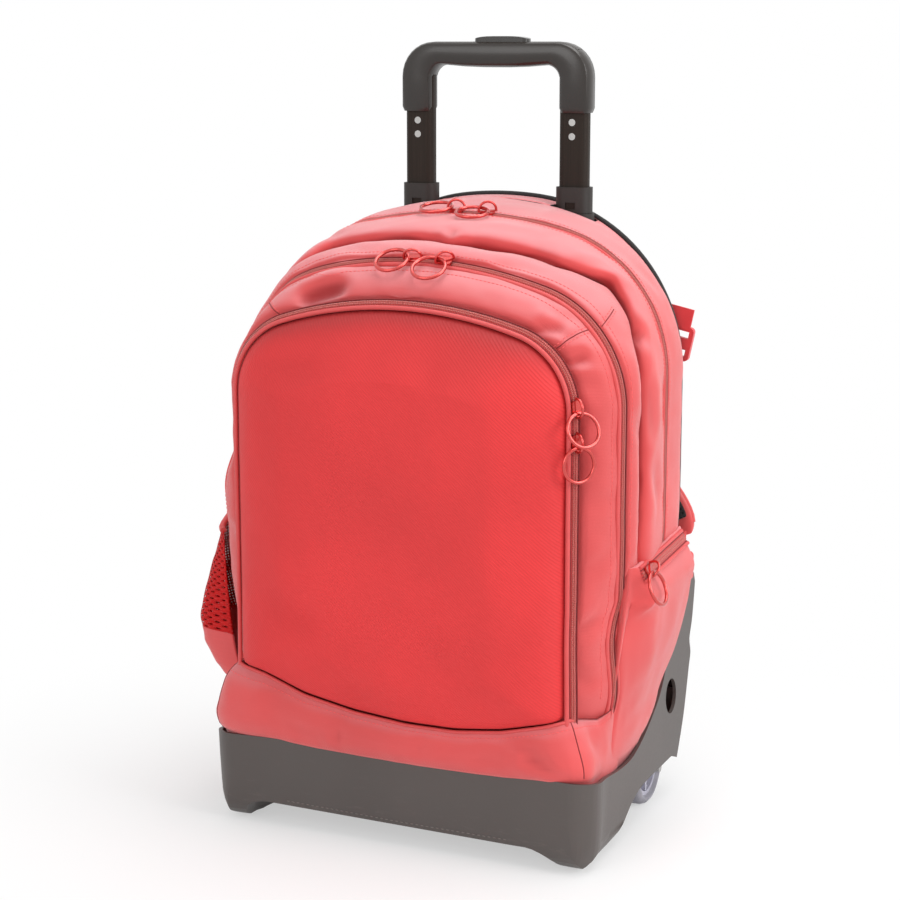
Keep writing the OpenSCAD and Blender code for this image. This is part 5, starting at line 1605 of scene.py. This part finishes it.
# Where the solid of the base is cut, so that its faces are small enough to be shaped
BASE_CUTS = {(0, 0, 1): (2, 4, 7, 10, 14, 18, 22, 27, 34, 44, 56, 68),
             (1, 0, 0): (-150, -134, -120, -112, -106, -100, -94, 94, 100, 106, 112, 120, 134, 150),
             (0, 1, 0): (-112, -104, -96, -86, -76, -66, -50, -34, -18, -4)}


def dress(node, finish):
    """Gives a solid of the frame its finish and smooth curved faces."""
    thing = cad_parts[node]
    thing.data.materials.clear()
    thing.data.materials.append(FINISHES[finish])
    thing.modifiers.new("Weld", "WELD").merge_threshold = SAME_PLACE
    smooth_by_angle(thing, 32)


def shaped_base(points):
    """Draft, rounded feet and the low arch of the moulded base."""
    moved = np.array(points)
    x, y, z = points.T
    wide = np.abs(x)
    inward = table([(0, 7.5), (3, 5.4), (6, 4.2), (10, 3.4), (17, 2.6), (26, 1.9), (36, 1.3), (55, 0.6),
                    (80, 0)], z)
    corner = 4.0 * ramp(118, 158, wide) * ramp(-80, -112, y) * ramp(-10, 30, z)
    moved[:, 0] += np.sign(x) * (corner - inward * ramp(10, -60, y) * ramp(100, 160, wide))
    moved[:, 1] += inward * ramp(-70, -118, y) - corner
    sole = ramp(-60, -100, y)
    lowered = table([(-120, 0), (0, 3.0), (90, 3.6)], x)
    moved[:, 2] -= lowered * ramp(146, 122, wide) * sole * ramp(64, 22, z) * ramp(6, 20, z)
    spread = table([(-168, 0), (-118, -24), (-60, 0), (60, 0), (118, 15), (168, 0)], x)
    moved[:, 0] += spread * sole * ramp(44, 16, z)
    return moved


def make_base():
    """The moulded base, softened from its solid."""
    work = bmesh.new()
    work.from_mesh(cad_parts["base_shell"].data)
    bmesh.ops.remove_doubles(work, verts=work.verts, dist=SAME_PLACE)
    for way, cuts in BASE_CUTS.items():
        for cut in cuts:
            bmesh.ops.bisect_plane(work, geom=work.verts[:] + work.edges[:] + work.faces[:],
                                   plane_co=Vector(way) * cut * MM, plane_no=way)
    bmesh.ops.triangulate(work, faces=work.faces)
    spots = shaped_base(np.array([v.co for v in work.verts]) / MM) * MM
    for vertex, spot in zip(work.verts, spots):
        vertex.co = spot
    thing = linked("base_moulding", bpy.data.meshes.new("base_moulding"))
    work.to_mesh(thing.data)
    work.free()
    smooth_by_angle(thing, 28)
    finish_piece(thing, "base", ("base_shell",))


def make_rigid_finishes():
    """Finishes of every moulded and metal part."""
    tubes = [f"{stage}_tube_{side}" for stage in ("outer", "middle", "inner") for side in ("left", "right")]
    groups = {
        "guard": ["back_guard", "tube_sockets"],
        "board": ["base_board"],
        "steel": ["base_screws", "guard_screws", "wheel_axles", "bushes_left", "bushes_right",
                  "grip_rivets", "release_yoke", "lock_pin_left", "lock_pin_right"],
        "tyre": ["tyre_left", "tyre_right"],
        "hub": ["hub_left", "hub_right"],
        "tube": tubes,
        "collar": ["outer_collars", "middle_collars", "end_plugs"],
        "grip": ["grip"],
        "button": ["release_button"],
        "buckle": ["strap_adjusters", "side_buckles"],
        "pull": [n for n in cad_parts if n.startswith(("slider_", "ring_"))],
    }
    for finish, nodes in groups.items():
        for node in nodes:
            dress(node, finish)
    make_base()
    x = np.linspace(-92, 92, 120)
    edge = shaped_base(stood(np.column_stack([x, np.full(len(x), 26.0)]), -122.15))
    along_lines("base_edge_marks", "grains", [(edge, (0, -1, 0))], {
        "Pitch": 4.6 * MM, "Length": 3.0 * MM, "Width": 0.8 * MM, "Height": 0.5 * MM, "Turn": 0.0,
        "Unevenness": 0.1, "Seed": 9}, "marks")


# ---------------------------------------------------------------------------
# Studio, in metres
# ---------------------------------------------------------------------------

# Place, size and power of each lamp; all shine at the middle of the bag
LAMPS = {"Overhead": ((0.35, 0.25, 2.3), 1.8, 26), "Right": ((2.1, -0.3, 1.3), 1.4, 25),
         "Front": ((-0.6, -2.4, 1.5), 1.6, 15)}
MIDDLE = Vector((0, 0, 0.3))
CAMERA_PLACE, CAMERA_WAY = Vector((0.7128, -1.618, 0.660)), Vector((-0.3977, 0.8975, -0.1908))
# Light of the white surroundings where the viewer doesn't see them directly
SURROUNDINGS = 0.50


def set_up(name, data, place, way):
    """A lamp or camera at a place, turned to look along a way."""
    thing = linked(name, data)
    thing.location = place
    thing.rotation_euler = way.to_track_quat("-Z", "Y").to_euler()
    return thing


def seen_directly(tree):
    """1 for a ray from the camera, a glossy surface or through glass, else 0."""
    rays = add_node(tree, "ShaderNodeLightPath").outputs
    total = rays["Is Camera Ray"]
    for name in ("Is Glossy Ray", "Is Transmission Ray"):
        total = add_node(tree, "ShaderNodeMath", {"operation": "ADD", "use_clamp": True},
                         {0: total, 1: rays[name]}).outputs[0]
    return total


def make_floor(colour):
    """Pale floor that turns to plain white some way from the object, where only the viewer sees it."""
    reach = 6000  # mm from the origin to each edge
    points = [(-reach, -reach, 0), (reach, -reach, 0), (reach, reach, 0), (-reach, reach, 0)]
    floor = piece("floor", points, [(0, 1, 2, 3)], closed=False)
    finish = Finish("Studio_floor", {"Roughness": 0.9, "Specular IOR Level": 0.2})
    tone = finish.mix(finish.noise(finish.where(), 3.0), shade(colour, 0.995), shade(colour, 1.005))
    x, y, _ = finish.parts(finish.where())
    far = ((x - 0.02).power(2.0) + (y + 0.02).power(2.0)).power(0.5).over(0.20, 0.62) * 0.50 + 0.50
    seen = Value(finish, seen_directly(finish.tree))
    white = finish.node("ShaderNodeEmission", None, {"Color": (1, 1, 1, 1), "Strength": 1.0})
    blend = finish.node("ShaderNodeMixShader", None, {0: far * seen, 1: finish.shader.outputs[0], 2: white})
    finish.tree.links.new(blend.socket, finish.end.inputs["Surface"])
    floor.data.materials.append(finish.feed(Base_Color=tone))


def make_studio():
    """Pale floor, white surroundings, soft lamps and the camera."""
    scene = bpy.context.scene
    make_floor((*scene.backpack_colours.floor, 1.0))
    world = bpy.data.worlds.new("Studio")
    world.use_nodes = True
    scene.world = world
    back = world.node_tree.nodes["Background"].inputs
    level = add_node(world.node_tree, "ShaderNodeMath", {"operation": "MULTIPLY_ADD"},
                     {0: seen_directly(world.node_tree), 1: 1.0 - SURROUNDINGS, 2: SURROUNDINGS})
    world.node_tree.links.new(level.outputs[0], back["Strength"])
    back["Color"].default_value = (1, 1, 1, 1)
    for name, (place, size, power) in LAMPS.items():
        lamp = bpy.data.lights.new(name, "AREA")
        lamp.shape, lamp.size, lamp.energy = "DISK", size, power
        set_up(name, lamp, place, MIDDLE - Vector(place))
    lens = bpy.data.cameras.new("View")
    lens.lens, lens.sensor_width, lens.clip_end = 84.08, 36.0, 50
    scene.camera = set_up("View", lens, CAMERA_PLACE, CAMERA_WAY)
    scene.view_settings.view_transform = "Standard"


# ---------------------------------------------------------------------------
# Operators, panel and run
# ---------------------------------------------------------------------------


class BACKPACK_OT_finishes(bpy.types.Operator):
    """Mixes the finishes of cloth, plastic and metal from the colours"""

    bl_idname = "backpack.finishes"
    bl_label = "Mix finishes"

    def execute(self, context):
        mix_finishes()
        return {"FINISHED"}


class BACKPACK_OT_bag(bpy.types.Operator):
    """Sews the two compartments"""

    bl_idname = "backpack.bag"
    bl_label = "Compartments"

    def execute(self, context):
        make_bag_cloth()
        return {"FINISHED"}


class BACKPACK_OT_front(bpy.types.Operator):
    """Sews the crowned front panel and the lower band"""

    bl_idname = "backpack.front"
    bl_label = "Front panel and band"

    def execute(self, context):
        make_front_panel()
        make_band()
        return {"FINISHED"}


class BACKPACK_OT_flank_pockets(bpy.types.Operator):
    """Sews the zipped pocket and the bottle pocket on the flanks"""

    bl_idname = "backpack.flank_pockets"
    bl_label = "Flank pockets"

    def execute(self, context):
        make_side_pocket()
        make_bottle_pocket()
        return {"FINISHED"}


class BACKPACK_OT_back(bpy.types.Operator):
    """Builds the padded back with its channels and pads"""

    bl_idname = "backpack.back"
    bl_label = "Padded back"

    def execute(self, context):
        make_back_panel()
        return {"FINISHED"}


class BACKPACK_OT_straps(bpy.types.Operator):
    """Makes the shoulder straps, haul loop and webbing"""

    bl_idname = "backpack.straps"
    bl_label = "Straps and webbing"

    def execute(self, context):
        make_straps()
        return {"FINISHED"}


class BACKPACK_OT_zips(bpy.types.Operator):
    """Lays the four zips with their coils and piping"""

    bl_idname = "backpack.zips"
    bl_label = "Zips"

    def execute(self, context):
        for kind in ("pocket", "front", "main"):
            make_zip(kind)
        make_side_zip()
        return {"FINISHED"}


class BACKPACK_OT_seams(bpy.types.Operator):
    """Adds stitches, dark cords as painted shadow lines along the seams, and bindings"""

    bl_idname = "backpack.seams"
    bl_label = "Seams and stitches"

    def execute(self, context):
        make_seams()
        return {"FINISHED"}


class BACKPACK_OT_mouldings(bpy.types.Operator):
    """Finishes the base, wheels, handle, buckles and pulls"""

    bl_idname = "backpack.mouldings"
    bl_label = "Mouldings and metal"

    def execute(self, context):
        make_rigid_finishes()
        return {"FINISHED"}


class BACKPACK_OT_studio(bpy.types.Operator):
    """Sets up the floor, lamps and camera"""

    bl_idname = "backpack.studio"
    bl_label = "Studio"

    def execute(self, context):
        make_studio()
        return {"FINISHED"}


OPERATORS = (BACKPACK_OT_finishes, BACKPACK_OT_bag, BACKPACK_OT_front, BACKPACK_OT_flank_pockets,
             BACKPACK_OT_back, BACKPACK_OT_straps, BACKPACK_OT_zips, BACKPACK_OT_seams,
             BACKPACK_OT_mouldings, BACKPACK_OT_studio)


class BACKPACK_PT_workshop(bpy.types.Panel):
    """Lists the steps of the backpack's making with its sizes and colours"""

    bl_idname = "BACKPACK_PT_workshop"
    bl_label = "Wheeled school backpack"
    bl_space_type = "VIEW_3D"
    bl_region_type = "UI"
    bl_category = "Backpack"

    def draw(self, context):
        column = self.layout.column()
        for group in (context.scene.backpack_sizes, context.scene.backpack_colours):
            for key in group.__annotations__:
                column.prop(group, key)
        for operator in OPERATORS:
            column.operator(operator.bl_idname)


CLASSES = (BackpackColours, BackpackSizes, *OPERATORS, BACKPACK_PT_workshop)


def register():
    for each in CLASSES:
        bpy.utils.register_class(each)
    bpy.types.Scene.backpack_colours = bpy.props.PointerProperty(type=BackpackColours)
    bpy.types.Scene.backpack_sizes = bpy.props.PointerProperty(type=BackpackSizes)


def unregister():
    del bpy.types.Scene.backpack_sizes
    del bpy.types.Scene.backpack_colours
    for each in reversed(CLASSES):
        bpy.utils.unregister_class(each)


def main():
    register()
    for operator in OPERATORS:
        group, _, step = operator.bl_idname.partition(".")
        getattr(getattr(bpy.ops, group), step)()
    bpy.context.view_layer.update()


if __name__ == "__main__":
    main()
